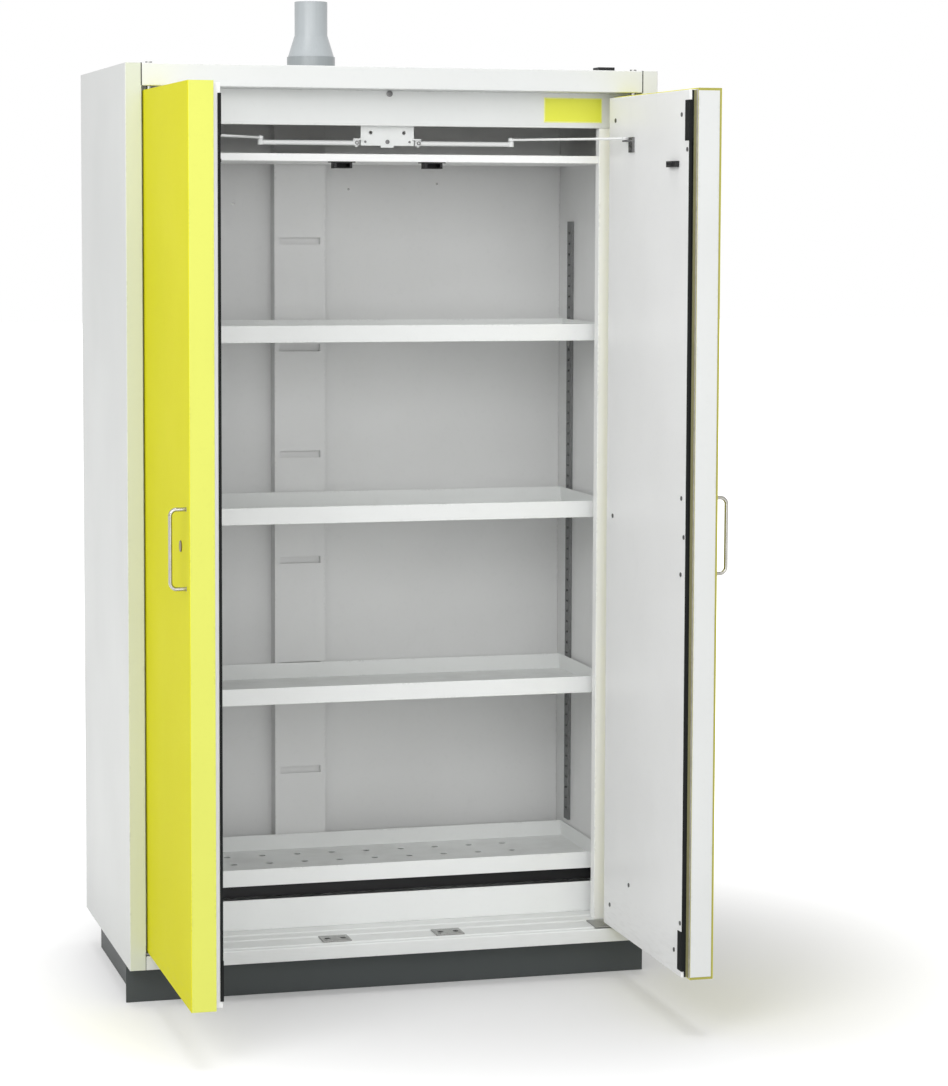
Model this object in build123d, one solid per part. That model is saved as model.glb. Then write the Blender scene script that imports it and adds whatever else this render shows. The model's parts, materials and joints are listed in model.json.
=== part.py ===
from build123d import *
import os

# Fire-rated safety cabinet with two wing doors, both standing open at a right angle.
# Millimetres, the floor at z = 0, the middle of the cabinet at x = 0, the front towards -Y.

# Overall sizes
width = 1140.0
depth = 620.0
height = 1955.0
base_height = 80.0
sheet = 1.5
soft_edge = 2.0

# Carcass walls
side_casing = 33.5
side_liner = 14.5
rear_wall = 74.0
rear_liner = 15.0
fascia_height = 46.0

# Door frame behind the doors
frame_gap = 6.0
jamb_width = 73.5
jamb_depth = 25.0
header_height = 74.0
header_depth = 18.0

# Sill: a front nosing, a land for the plates, then two treads
sill_nose_height = 29.0
sill_nose_depth = 13.0
sill_step = 3.0
sill_land_depth = 56.0
sill_tread_depth = 34.0
sill_depth = 145.0
sill_chamfer = 2.5

# Plinth and feet
plinth_setback = 54.0
plinth_sheet = 3.0
skirt_inset = 24.0
skirt_thick = 40.0
base_frame_depth = 501.0
foot_radius = 20.0
foot_disc = 8.0
foot_stud_radius = 6.0
foot_inset = 30.0

# Doors
door_shell = 49.0
door_liner = 15.0
pivot_inset = 17.5
pivot_setback = 13.0
door_side_gap = 2.5
door_meet_gap = 4.0
door_top_gap = 9.0
door_bottom_gap = 2.0
hinge_edge_round = 9.0
liner_hinge_inset = 12.0
liner_free_inset = 12.0
liner_end_inset = 3.0
edge_strip_thick = 1.0
edge_strip_border = 5.0

# Pivot pins and bushes
pin_radius = 6.0
pin_fit = 0.05
pin_head_radius = 7.0
pin_head = 3.0
pin_reach = 22.0
pin_hole_clearance = 0.3
pin_collar_radius = 10.0
pin_collar = 1.5
bush_radius = 10.0
bush_length = 30.0

# Plates on the sill
plate_thick = 3.0
plate_depth = 52.0
strike_length = 62.0
strike_middle = 124.0
strike_hole_radius = 6.5
strike_hole_spacing = 34.0
strike_hole_back = 28.0
strike_hole_spare = 3.0
pivot_plate_length = 92.0
pivot_plate_front = 2.0

# Door seal and its corner pads
seal_thick = 4.0
seal_depth = 5.5
pad_height = 80.0
pad_top_inset = 23.0
pad_foot_inset = 16.0
pad_leg = 22.0
pad_thick = 1.2

# Handle and lock
handle_from_edge = 36.0
handle_height = 153.0
handle_middle = 1011.0
handle_standoff = 31.0
handle_radius = 3.8
handle_bend = 13.0
lock_from_edge = 93.0
lock_radius = 11.0
lock_fit = 0.05
lock_proud = 2.0
lock_length = 38.0
lock_slot = 2.0
lock_slot_height = 9.0
lock_cam_length = 38.0
lock_cam_width = 10.0
lock_cam_thick = 4.0
lock_rod_radius = 5.0
lock_rod_fit = 0.05
lock_rod_channel = 0.6
lock_rod_throw = 14.0
lock_pocket = 46.0

# Catches that hold the doors shut
catch_middle = 98.0
catch_width = 38.0
catch_height = 12.0
catch_depth = 34.0
catch_flange = 52.0
catch_flange_thick = 2.0
catch_wall = 1.5
catch_slot_width = 28.0
clip_base_width = 56.0
clip_base_thick = 9.0
clip_tongue_width = 16.0
clip_tongue_height = 6.0
clip_reach = 18.0

# Overhead closers: housing, arm and rod for each door
closer_plate_width = 115.0
closer_plate_thick = 3.0
closer_drop = 41.0
closer_rise = 45.0
closer_body_depth = 34.0
closer_tab_width = 28.0
closer_tab_drop = 4.0
closer_hole_x = 36.0
closer_hole_drop = 14.0
closer_hole_radius = 4.0
arm_pivot_x = 67.0
arm_length = 205.0
arm_radius = 5.0
arm_drop = 36.0
arm_eye_radius = 7.0
arm_pin_radius = 3.0
arm_pin_fit = 0.05
ear_thick = 3.0
elbow_gap = 0.5
rod_radius = 2.5
rod_eye_radius = 6.0
rod_eye_height = 6.5
bracket_from_pivot = 133.0
bracket_standoff = 10.0
bracket_width = 28.0
bracket_height = 25.0
bracket_thick = 4.5
bracket_lug = 3.0

# Inside fittings
ceiling_drop = 59.0
ceiling_thick = 16.0
ceiling_setback = 4.0
tray_lip = 36.0
tray_front = 140.0
tray_back_gap = 6.0
tray_side_gap = 2.0
insert_top = 250.0
shelf_levels = {"upper_shelf": 0.771, "middle_shelf": 0.5152, "lower_shelf": 0.2589}
insert_hole_radius = 8.0
insert_hole_pitch = 80.0
sump_height = 66.0
sump_sheet = 2.0
rail_width = 32.0
rail_thick = 6.0
rail_bottom_gap = 12.0
rail_top_gap = 125.0
rail_slot_width = 12.0
rail_slot_height = 5.0
rail_slot_pitch = 24.0
rail_front_y = -110.0
rail_rear_y = 142.0
clip_width = 18.0
clip_leg = 26.0
clip_thick = 3.0
clip_tongue = 20.0

# Ventilation
duct_width = 116.0
duct_depth = 42.0
duct_middle = -98.0
duct_bottom = 190.0
duct_slot_width = 94.0
duct_slot_height = 15.0
duct_slot_top_gap = 170.0
duct_slot_bottom = 395.0
duct_slots = 6
spigot_x = -70.0
spigot_rear_gap = 31.0
collar_radius = 53.5
collar_height = 43.0
collar_bore = 35.0
collar_wall = 5.0
collar_socket_wall = 3.5
collar_floor = 6.0
collar_fit = 0.2
reducer_shoulder = 51.5
reducer_cone = 48.0
spigot_radius = 36.5
spigot_length = 74.0
spigot_wall = 3.0
damper_gap = 2.0
damper_thick = 2.0
damper_spindle = 2.5
damper_fit = 0.05
damper_below_roof = 10.0
cap_end_gap = 46.5
cap_width = 36.0
cap_depth = 40.0
cap_height = 9.0
cap_setback = 50.0

# Small fasteners and the blank plate on the header
screw_head_radius = 4.5
screw_head = 2.0
screw_shank_radius = 2.0
screw_shank = 10.0
screw_fit = 0.1
screw_hinge_inset = 44.0
screw_free_inset = 43.0
screw_edge_inset = 8.0
screw_end_inset = 48.0
screw_pad_gap = 17.0
screw_extra_u = 128.0
screw_extra_z = 70.0
header_screw_radius = 6.5
header_screw_head = 3.0
header_screw_drop = 7.0
tab_screw_x = 48.0
tab_screw_radius = 2.5
tab_screw_drop = 33.0
name_plate_width = 130.0
name_plate_height = 53.0
name_plate_thick = 0.8
name_plate_end_gap = 68.0
name_plate_top_gap = 10.0

# Places that follow from the sizes above
half = width / 2
front = -depth / 2
back = depth / 2
wall_in = half - side_casing
room = wall_in - side_liner
frame_front = front + door_shell + door_liner + frame_gap
frame_back = frame_front + jamb_depth
header_back = frame_front + header_depth
jamb_in = wall_in - jamb_width
fascia_bottom = height - fascia_height
header_bottom = fascia_bottom - header_height
room_top = fascia_bottom + sheet
rear_in = back - rear_wall
rear_board_in = rear_in + rear_liner
sill_nose_top = base_height + sill_nose_height
sill_land = sill_nose_top + sill_step
sill_tread = sill_land + sill_step
floor_top = sill_tread + sill_step
sill_land_front = front + sill_nose_depth
sill_tread_front = sill_land_front + sill_land_depth
sill_floor_front = sill_tread_front + sill_tread_depth
sill_back = front + sill_depth
plinth_front_y = front + plinth_setback
base_back = plinth_front_y + plinth_sheet + base_frame_depth
pivot_x = wall_in - pivot_inset
pivot_y = front + pivot_setback
hinge_u = door_side_gap - pivot_inset
free_u = pivot_x - door_meet_gap / 2
outer_v = -pivot_setback
shell_v = outer_v + door_shell
inner_v = shell_v + door_liner
plate_top = sill_land + plate_thick
door_bottom = plate_top + door_bottom_gap
door_top = fascia_bottom - door_top_gap
liner_u0 = hinge_u + liner_hinge_inset
liner_u1 = free_u - liner_free_inset
liner_z0 = door_bottom + liner_end_inset
liner_z1 = door_top - liner_end_inset
pad_low = door_bottom + pad_foot_inset
pad_high = door_top - pad_top_inset
handle_u = free_u - handle_from_edge
lock_u = free_u - lock_from_edge
plate_back_y = sill_tread_front - sill_step
strike_y = plate_back_y - strike_hole_back
lock_rod_u = pivot_x - strike_middle - strike_hole_spacing / 2
lock_rod_v = strike_y - pivot_y
strike_hole_bottom = door_bottom - lock_rod_throw - strike_hole_spare
lock_v0 = outer_v - lock_proud
lock_v1 = lock_v0 + lock_length
ceiling_top = header_bottom - ceiling_drop
ceiling_bottom = ceiling_top - ceiling_thick
ceiling_front = frame_front + ceiling_setback
rail_bottom = insert_top + rail_bottom_gap
rail_top = ceiling_bottom - rail_top_gap
duct_slot_top = ceiling_bottom - duct_slot_top_gap
duct_slot_pitch = (duct_slot_top - duct_slot_bottom) / (duct_slots - 1)
catch_u = pivot_x - catch_middle
catch_bottom = ceiling_bottom - catch_flange_thick - catch_height
catch_mid_z = catch_bottom + catch_height / 2
arm_z = header_bottom - arm_drop
arm_y = header_back + closer_plate_thick / 2
arm_top = arm_z + arm_radius + 2 * elbow_gap
rod_low = arm_top + elbow_gap
rod_z = rod_low + rod_eye_height / 2
bracket_v = inner_v + bracket_standoff
tray_front_y = front + tray_front
duct_front = rear_in - duct_depth
tray_back_y = duct_front - tray_back_gap
rail_in = room - rail_thick
shelf_half = rail_in - tray_side_gap
sump_half = room - tray_side_gap
sump_top = floor_top + sump_height
spigot_y = rear_in - spigot_rear_gap
collar_top = height + collar_height
damper_z = height - damper_below_roof
damper_radius = collar_bore - damper_gap
shelf_room = ceiling_bottom - insert_top
shelf_tops = {name: insert_top + level * shelf_room for name, level in shelf_levels.items()}


def block(x0, x1, y0, y1, z0, z1):
    """A box between two corners."""
    return Pos((x0 + x1) / 2, (y0 + y1) / 2, (z0 + z1) / 2) * Box(x1 - x0, y1 - y0, z1 - z0)


def upright(x, y, z0, z1, radius):
    """A round bar along Z."""
    return Pos(x, y, (z0 + z1) / 2) * Cylinder(radius, z1 - z0)


def across(x0, x1, y, z, radius):
    """A round bar along X."""
    return Pos((x0 + x1) / 2, y, z) * Rot(0, 90, 0) * Cylinder(radius, x1 - x0)


def fore_aft(x, y0, y1, z, radius):
    """A round bar along Y."""
    return Pos(x, (y0 + y1) / 2, z) * Rot(90, 0, 0) * Cylinder(radius, y1 - y0)


def group(solids):
    """Separate solids that share one node."""
    return Compound(children=[part for shape in solids for part in shape.solids()])


def other_side(shape):
    """The same piece on the other side of the cabinet's middle plane."""
    return mirror(shape, about=Plane.YZ)


def pair(shape):
    """A left and a right copy in one node."""
    return [shape, other_side(shape)]


def leaf(u0, u1, v0, v1, z0, z1):
    """A box on the open left door: u runs from the pivot to the free edge, v to the inner face."""
    return block(v0 - pivot_x, v1 - pivot_x, pivot_y - u1, pivot_y - u0, z0, z1)


def leaf_upright(u, v, z0, z1, radius):
    """An upright round bar on the open left door."""
    return upright(v - pivot_x, pivot_y - u, z0, z1, radius)


def leaf_stud(u, z, v0, v1, radius):
    """A round bar through the open left door."""
    return across(v0 - pivot_x, v1 - pivot_x, pivot_y - u, z, radius)


def tray(half_width, y0, y1, top, wall):
    """A folded tray, open at the top, with its lip all round."""
    bottom = top - tray_lip
    return block(-half_width, half_width, y0, y1, bottom, top) - block(
        wall - half_width, half_width - wall, y0 + wall, y1 - wall, bottom + wall, top
    )


# Carcass

def side_panel():
    """Right side casing: outer skin, folded ends and the return that the hinge edge runs past."""
    outer = block(wall_in, half, front, back, base_height, height)
    outer = fillet(outer.edges().filter_by(Axis.Z).group_by(Axis.X)[-1], soft_edge)
    space = block(wall_in, half - sheet, front + sheet, back - sheet, base_height + sheet, height - sheet)
    return outer - space + block(wall_in, wall_in + sheet, front, frame_front, base_height, height)


def wall_board():
    """Insulation board inside the right side casing."""
    board = block(wall_in, half - sheet, front + sheet, back - sheet, base_height + sheet, height - sheet)
    return board - block(wall_in, wall_in + sheet, front, frame_front, base_height, height)


def pin_holes(z0, z1):
    """Clearance holes round the upper pivot pins."""
    return pair(upright(pivot_x, pivot_y, z0, z1, pin_radius + pin_hole_clearance))


def roof_panel():
    """Roof skin, front fascia and the return under it."""
    outer = block(-wall_in, wall_in, front, back - sheet, fascia_bottom, height)
    outer = fillet(outer.edges().filter_by(Axis.X).group_by(Axis.Y)[0], soft_edge)
    space = block(-wall_in, wall_in, front + sheet, back - sheet, room_top, height - sheet)
    under = block(-wall_in, wall_in, header_back, back - sheet, fascia_bottom, room_top)
    pipe = upright(spigot_x, spigot_y, fascia_bottom, height, collar_bore + collar_wall + collar_fit)
    return outer - [space, under, pipe, *pin_holes(fascia_bottom, height)]


def roof_board():
    """Insulation board under the roof skin."""
    board = block(-wall_in, wall_in, front + sheet, back - sheet, room_top, height - sheet)
    pipe = upright(spigot_x, spigot_y, room_top, height, collar_bore + collar_wall + collar_fit)
    return board - [pipe, *pin_holes(room_top, height)]


def insulation_boards():
    """Boards inside the side casings, under the roof skin and behind the rear liner."""
    rear_board = block(-wall_in, wall_in, rear_board_in, back - sheet, floor_top, room_top)
    return group(pair(wall_board()) + [roof_board(), rear_board])


def sill_rail():
    """Front rail with its stepped top, carried right across the opening."""
    profile = Polyline(
        (front, base_height),
        (front, sill_nose_top - sill_chamfer),
        (front + sill_chamfer, sill_nose_top),
        (sill_land_front - sill_step, sill_nose_top),
        (sill_land_front, sill_land),
        (sill_tread_front - sill_step, sill_land),
        (sill_tread_front, sill_tread),
        (sill_floor_front - sill_step, sill_tread),
        (sill_floor_front, floor_top),
        (sill_back, floor_top),
        (sill_back, base_height),
        close=True,
    )
    rail = extrude(Plane.YZ * make_face(profile), wall_in, both=True)
    return rail - strike_holes(strike_hole_bottom, sill_land)


def strike_holes(z0, z1):
    """Holes for the lock rod, two in each strike plate."""
    places = [side * strike_middle + end * strike_hole_spacing / 2 for side in (-1, 1) for end in (-1, 1)]
    return [upright(x, strike_y, z0, z1, strike_hole_radius) for x in places]


def sill_plates():
    """Two strike plates near the middle and two plates under the pivots."""
    x0, x1 = strike_middle - strike_length / 2, strike_middle + strike_length / 2
    strike = block(x0, x1, plate_back_y - plate_depth, plate_back_y, sill_land, plate_top)
    strikes = [plate - strike_holes(sill_land, plate_top) for plate in pair(strike)]
    x0, y0 = wall_in - pivot_plate_length, front + pivot_plate_front
    pivot_plate = block(x0, wall_in, y0, plate_back_y, sill_land, plate_top)
    pivot_plate -= upright(pivot_x, pivot_y, sill_land, plate_top, pin_radius)
    return group(strikes + pair(pivot_plate))


def hinge_pins():
    """Upper pins hung through the roof and lower pins standing in the pivot plates."""
    upper = upright(pivot_x, pivot_y, door_top - pin_reach, height, pin_radius)
    upper += upright(pivot_x, pivot_y, height, height + pin_head, pin_head_radius)
    lower = upright(pivot_x, pivot_y, sill_land, door_bottom + pin_reach, pin_radius)
    lower += upright(pivot_x, pivot_y, plate_top, plate_top + pin_collar, pin_collar_radius)
    return group(pair(upper) + pair(lower))


def base_frame():
    """Welded skirt with a middle bearer, open at the front behind the plinth."""
    y0 = plinth_front_y + plinth_sheet
    side = half - skirt_inset
    outer = block(-side, side, y0, base_back, 0, base_height)
    bays = block(skirt_thick / 2, side - skirt_thick, y0, base_back - skirt_thick, 0, base_height)
    return outer - pair(bays)


def levelling_feet():
    """Four screw feet inside the corners of the base frame."""
    x = half - skirt_inset - skirt_thick - foot_inset
    rows = (plinth_front_y + plinth_sheet + foot_inset, base_back - skirt_thick - foot_inset)
    feet = []
    for y in rows:
        stud = upright(x, y, foot_disc, base_height, foot_stud_radius)
        feet += pair(stud + upright(x, y, 0, foot_disc, foot_radius))
    return group(feet)


# Inside fittings

def ceiling_panel():
    """Panel under the closers, reaching forward between the jambs."""
    wide = block(-room, room, frame_back, tray_back_y, ceiling_bottom, ceiling_top)
    return wide + block(-jamb_in, jamb_in, ceiling_front, frame_back, ceiling_bottom, ceiling_top)


def shelf_rails():
    """Four slotted rails on the side liners."""
    rails = []
    slots = int((rail_top - rail_bottom) / rail_slot_pitch) - 1
    for y in (rail_front_y, rail_rear_y):
        rail = block(rail_in, room, y - rail_width / 2, y + rail_width / 2, rail_bottom, rail_top)
        cuts = []
        for step in range(slots):
            z = rail_bottom + (step + 1) * rail_slot_pitch
            y0, y1 = y - rail_slot_width / 2, y + rail_slot_width / 2
            cuts.append(block(rail_in, room, y0, y1, z, z + rail_slot_height))
        rails += pair(rail - cuts)
    return group(rails)


def shelf_clips():
    """One clip under each corner of each shelf, flat against its rail."""
    clips = []
    for top in shelf_tops.values():
        seat = top - tray_lip
        for y in (rail_front_y, rail_rear_y):
            y0, y1 = y - clip_width / 2, y + clip_width / 2
            clip = block(rail_in - clip_thick, rail_in, y0, y1, seat - clip_leg, seat)
            clip += block(rail_in - clip_tongue, rail_in, y0, y1, seat - clip_thick, seat)
            clips += pair(clip)
    return group(clips)


def bottom_insert():
    """Perforated tray over the sump, its sides carried down onto the sump walls."""
    half_width = sump_half - sump_sheet / 2
    shape = tray(half_width, tray_front_y, tray_back_y, insert_top, sheet)
    bottom = insert_top - tray_lip
    shape += block(half_width - sheet, half_width, tray_front_y, tray_back_y, sump_top, bottom)
    shape += block(-half_width, sheet - half_width, tray_front_y, tray_back_y, sump_top, bottom)
    columns = int(2 * (half_width - insert_hole_pitch) / insert_hole_pitch)
    rows = int((tray_back_y - tray_front_y) / insert_hole_pitch)
    middle = (tray_front_y + tray_back_y) / 2
    holes = []
    for column in range(columns):
        for row in range(rows):
            x = (column - (columns - 1) / 2) * insert_hole_pitch
            y = middle + (row - (rows - 1) / 2) * insert_hole_pitch
            holes.append(upright(x, y, bottom, bottom + sheet, insert_hole_radius))
    return shape - holes


def sump_tray():
    """Leak tray on the floor of the cabinet."""
    outer = block(-sump_half, sump_half, tray_front_y, tray_back_y, floor_top, sump_top)
    inner = block(
        sump_sheet - sump_half, sump_half - sump_sheet, tray_front_y + sump_sheet, tray_back_y - sump_sheet,
        floor_top + sump_sheet, sump_top,
    )
    return outer - inner


def top_catches():
    """Two black catches under the ceiling panel, open at the front."""
    x0, x1 = catch_middle - catch_width / 2, catch_middle + catch_width / 2
    y0, y1 = ceiling_front, ceiling_front + catch_depth
    catch = block(x0, x1, y0, y1, catch_bottom, ceiling_bottom - catch_flange_thick)
    catch += block(
        catch_middle - catch_flange / 2, catch_middle + catch_flange / 2, y0, y1,
        ceiling_bottom - catch_flange_thick, ceiling_bottom,
    )
    catch -= block(
        catch_middle - catch_slot_width / 2, catch_middle + catch_slot_width / 2, y0, y1 - catch_wall,
        catch_bottom + catch_wall, catch_bottom + catch_height - catch_wall,
    )
    return group(pair(catch))


# Ventilation

def exhaust_duct():
    """Flat duct on the rear liner with extraction slots, open into the roof collar."""
    x0, x1 = duct_middle - duct_width / 2, duct_middle + duct_width / 2
    duct = block(x0, x1, duct_front, rear_in, duct_bottom, room_top)
    inside = block(x0 + sheet, x1 - sheet, duct_front + sheet, rear_in - sheet, duct_bottom + sheet, room_top)
    slots = []
    for step in range(duct_slots):
        z = duct_slot_top - step * duct_slot_pitch
        slots.append(
            block(
                duct_middle - duct_slot_width / 2, duct_middle + duct_slot_width / 2,
                duct_front, duct_front + sheet, z - duct_slot_height / 2, z + duct_slot_height / 2,
            )
        )
    return duct - [inside, *slots]


def exhaust_collar():
    """Collar through the roof with the socket that the reducer stands in."""
    socket = collar_radius - collar_socket_wall
    collar = upright(spigot_x, spigot_y, height, collar_top, collar_radius)
    collar += upright(spigot_x, spigot_y, room_top, height, collar_bore + collar_wall)
    collar -= upright(spigot_x, spigot_y, room_top, collar_top, collar_bore)
    collar -= upright(spigot_x, spigot_y, height + collar_floor, collar_top, socket)
    return collar - across(
        spigot_x - collar_radius, spigot_x + collar_radius, spigot_y, damper_z, damper_spindle + damper_fit
    )


def exhaust_reducer():
    """Round reducer standing in the collar, with the spigot for a round pipe on top."""
    foot = collar_radius - collar_socket_wall - collar_fit
    neck = collar_top + reducer_cone
    top = neck + spigot_length
    profile = Polyline(
        (foot, height + collar_floor),
        (foot, collar_top),
        (reducer_shoulder, collar_top),
        (spigot_radius, neck),
        (spigot_radius, top),
        (spigot_radius - spigot_wall, top),
        (spigot_radius - spigot_wall, neck),
        (foot - spigot_wall, collar_top),
        (foot - spigot_wall, height + collar_floor),
        close=True,
    )
    return Pos(spigot_x, spigot_y, 0) * revolve(Plane.XZ * make_face(profile), Axis.Z)


def exhaust_damper():
    """Butterfly plate on its spindle, standing open in the collar."""
    y0, y1 = spigot_y - damper_thick / 2, spigot_y + damper_thick / 2
    plate = fore_aft(spigot_x, y0, y1, damper_z, damper_radius)
    reach = collar_bore + collar_wall - damper_gap / 2
    return plate + across(spigot_x - reach, spigot_x + reach, spigot_y, damper_z, damper_spindle)


def supply_air_cap():
    """Low black cap on the roof near the front."""
    x1 = wall_in - cap_end_gap
    y0 = front + cap_setback
    return block(x1 - cap_width, x1, y0, y0 + cap_depth, height, height + cap_height)


# Closers

def closer_housing():
    """Plate and body behind the header with an ear and a pin for each arm."""
    plate_half = closer_plate_width / 2
    y1 = header_back + closer_plate_thick
    low = header_bottom - closer_drop
    shape = block(-plate_half, plate_half, header_back, y1, low, header_bottom)
    shape += block(-closer_tab_width / 2, closer_tab_width / 2, header_back, y1, low - closer_tab_drop, low)
    hole_z = header_bottom - closer_hole_drop
    for x in (-closer_hole_x, closer_hole_x):
        shape -= fore_aft(x, header_back, y1, hole_z, closer_hole_radius)
    top = header_bottom + closer_rise
    shape += block(-plate_half, plate_half, header_back, y1 + closer_body_depth, header_bottom, top)
    for side in (-1, 1):
        x = side * arm_pivot_x
        edge = side * (plate_half - closer_plate_thick)
        y0, y2 = arm_y - arm_eye_radius, arm_y + arm_eye_radius
        shape += block(min(x, edge), max(x, edge), y0, y2, rod_low, rod_low + ear_thick)
        shape += upright(x, arm_y, rod_low, rod_low + ear_thick, arm_eye_radius)
        shape += upright(x, arm_y, arm_z - arm_radius - ear_thick, rod_low, arm_pin_radius)
    return shape


def header_screws():
    """Dome screw on the header and the screws of the closer plate."""
    dome_z = fascia_bottom - header_screw_drop
    low = header_bottom - tab_screw_drop
    heads = [fore_aft(0, frame_front - header_screw_head, frame_front, dome_z, header_screw_radius)]
    heads.append(fore_aft(0, header_back - screw_head, header_back, low, screw_head_radius))
    for x in (-tab_screw_x, tab_screw_x):
        heads.append(fore_aft(x, header_back - screw_head, header_back, low, tab_screw_radius))
    return group(heads)


def header_plate():
    """Blank coloured plate on the right end of the header."""
    x1 = wall_in - name_plate_end_gap
    z1 = fascia_bottom - name_plate_top_gap
    y0 = frame_front - name_plate_thick
    return block(x1 - name_plate_width, x1, y0, frame_front, z1 - name_plate_height, z1)


def closer_arm():
    """Right arm: an eye on the housing pin, a tube, and a boss under the elbow."""
    low = arm_z - arm_radius
    elbow_x = arm_pivot_x + arm_length
    shape = across(arm_pivot_x, elbow_x, arm_y, arm_z, arm_radius)
    shape += upright(arm_pivot_x, arm_y, low, arm_top, arm_eye_radius)
    shape += upright(elbow_x, arm_y, low, arm_top, rod_eye_radius)
    return shape - upright(arm_pivot_x, arm_y, low, arm_top, arm_pin_radius + arm_pin_fit)


def bracket_pin():
    """Where the right rod turns on its door bracket."""
    return pivot_x - bracket_v, pivot_y - bracket_from_pivot


def closer_rod():
    """Right rod from the elbow to the pin of the door bracket."""
    pin_x, pin_y = bracket_pin()
    elbow_x = arm_pivot_x + arm_length
    run = Vector(pin_x - elbow_x, pin_y - arm_y, 0)
    start = Plane(origin=(elbow_x, arm_y, rod_z), z_dir=run)
    shape = extrude(start * Circle(rod_radius), run.length)
    for x, y in ((elbow_x, arm_y), (pin_x, pin_y)):
        shape += upright(x, y, rod_low, rod_low + rod_eye_height, rod_eye_radius)
    return shape - upright(pin_x, pin_y, rod_low, rod_low + rod_eye_height, arm_pin_radius + arm_pin_fit)


# Left door, standing open; the right door mirrors it

def hinge_rounded(shape, inset, radius):
    """Rounds the upright outer edge beside the pivot, which swings close to the side casing."""
    corner = (outer_v + inset - pivot_x, pivot_y - hinge_u - inset, (door_bottom + door_top) / 2)
    return fillet(shape.edges().filter_by(Axis.Z).sort_by_distance(corner)[0], radius)


def shell_space():
    """Room inside the door shell."""
    space = leaf(
        hinge_u + sheet, free_u - sheet, outer_v + sheet, shell_v, door_bottom + sheet, door_top - sheet
    )
    return hinge_rounded(space, sheet, hinge_edge_round - sheet)


def bush_seats():
    """Seats for the two hinge bushes."""
    return [
        leaf_upright(0, 0, door_top - bush_length, door_top, bush_radius),
        leaf_upright(0, 0, door_bottom, door_bottom + bush_length, bush_radius),
    ]


def door_skin(locked):
    """Folded outer shell of the door."""
    outer = leaf(hinge_u, free_u, outer_v, shell_v, door_bottom, door_top)
    free_corner = (outer_v - pivot_x, pivot_y - free_u, (door_bottom + door_top) / 2)
    outer = fillet(outer.edges().filter_by(Axis.Z).sort_by_distance(free_corner)[0], soft_edge)
    outer = hinge_rounded(outer, 0, hinge_edge_round)
    cuts = [shell_space(), *bush_seats()]
    if locked:
        cuts.append(leaf_stud(lock_u, handle_middle, outer_v, shell_v, lock_radius + lock_fit))
        guide = lock_rod_radius + lock_rod_fit
        cuts.append(leaf_upright(lock_rod_u, lock_rod_v, door_bottom, door_bottom + sheet, guide))
    return outer - cuts


def door_core(locked):
    """Insulation board that fills the shell."""
    core = shell_space()
    cuts = bush_seats()
    if locked:
        z0, z1 = handle_middle - lock_pocket, handle_middle + lock_pocket
        channel = lock_rod_radius + lock_rod_channel
        cuts.append(leaf(lock_rod_u - channel, lock_u + lock_pocket, outer_v + sheet, shell_v, z0, z1))
        cuts.append(leaf_upright(lock_rod_u, lock_rod_v, door_bottom, handle_middle, channel))
    return core - cuts


def screw_places():
    """Screws on the inner face as distances from the pivot and heights."""
    hinge_column = liner_u0 + screw_hinge_inset
    free_column = liner_u1 - screw_free_inset
    edge_column = liner_u1 - screw_edge_inset
    rows = (liner_z0 + screw_end_inset, handle_middle, liner_z1 - screw_end_inset)
    places = [(hinge_column, z) for z in rows]
    places += [(free_column, rows[0]), (free_column, rows[2])]
    places += [(edge_column, pad_low + pad_height + screw_pad_gap), (edge_column, handle_middle)]
    places += [(edge_column, pad_high - pad_height - screw_pad_gap)]
    places += [(hinge_column + screw_extra_u, rows[0] + screw_extra_z)]
    places += [(handle_u, handle_middle - handle_height / 2), (handle_u, handle_middle + handle_height / 2)]
    return places


def screws():
    """Screws through the inner panel."""
    heads = []
    for u, z in screw_places():
        head = leaf_stud(u, z, inner_v, inner_v + screw_head, screw_head_radius)
        heads.append(head + leaf_stud(u, z, inner_v - screw_shank, inner_v, screw_shank_radius))
    return group(heads)


def door_inner_panel():
    """White panel that closes the inside of the door."""
    panel = leaf(liner_u0, liner_u1, shell_v, inner_v, liner_z0, liner_z1)
    radius = screw_shank_radius + screw_fit
    return panel - [leaf_stud(u, z, inner_v - screw_shank, inner_v, radius) for u, z in screw_places()]


def door_seal():
    """Seal along the free edge of the inner panel and a pad round each end of it."""
    strip = leaf(
        liner_u1, liner_u1 + seal_thick, inner_v - seal_depth, inner_v,
        pad_low + pad_height, pad_high - pad_height,
    )
    pads = []
    for z0, z1 in ((pad_low, pad_low + pad_height), (pad_high - pad_height, pad_high)):
        pad = leaf(liner_u1, liner_u1 + seal_thick, inner_v - seal_depth, inner_v + pad_thick, z0, z1)
        pads.append(pad + leaf(liner_u1 - pad_leg, liner_u1, inner_v, inner_v + pad_thick, z0, z1))
    return group([strip, *pads])


def handle():
    """Round bow handle on the outer face."""
    x0 = outer_v - pivot_x
    x1 = x0 - handle_standoff
    y = pivot_y - handle_u
    z0, z1 = handle_middle - handle_height / 2, handle_middle + handle_height / 2
    path = FilletPolyline((x0, y, z0), (x1, y, z0), (x1, y, z1), (x0, y, z1), radius=handle_bend)
    return sweep(Plane(origin=(x0, y, z0), z_dir=(-1, 0, 0)) * Circle(handle_radius), path)


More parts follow.
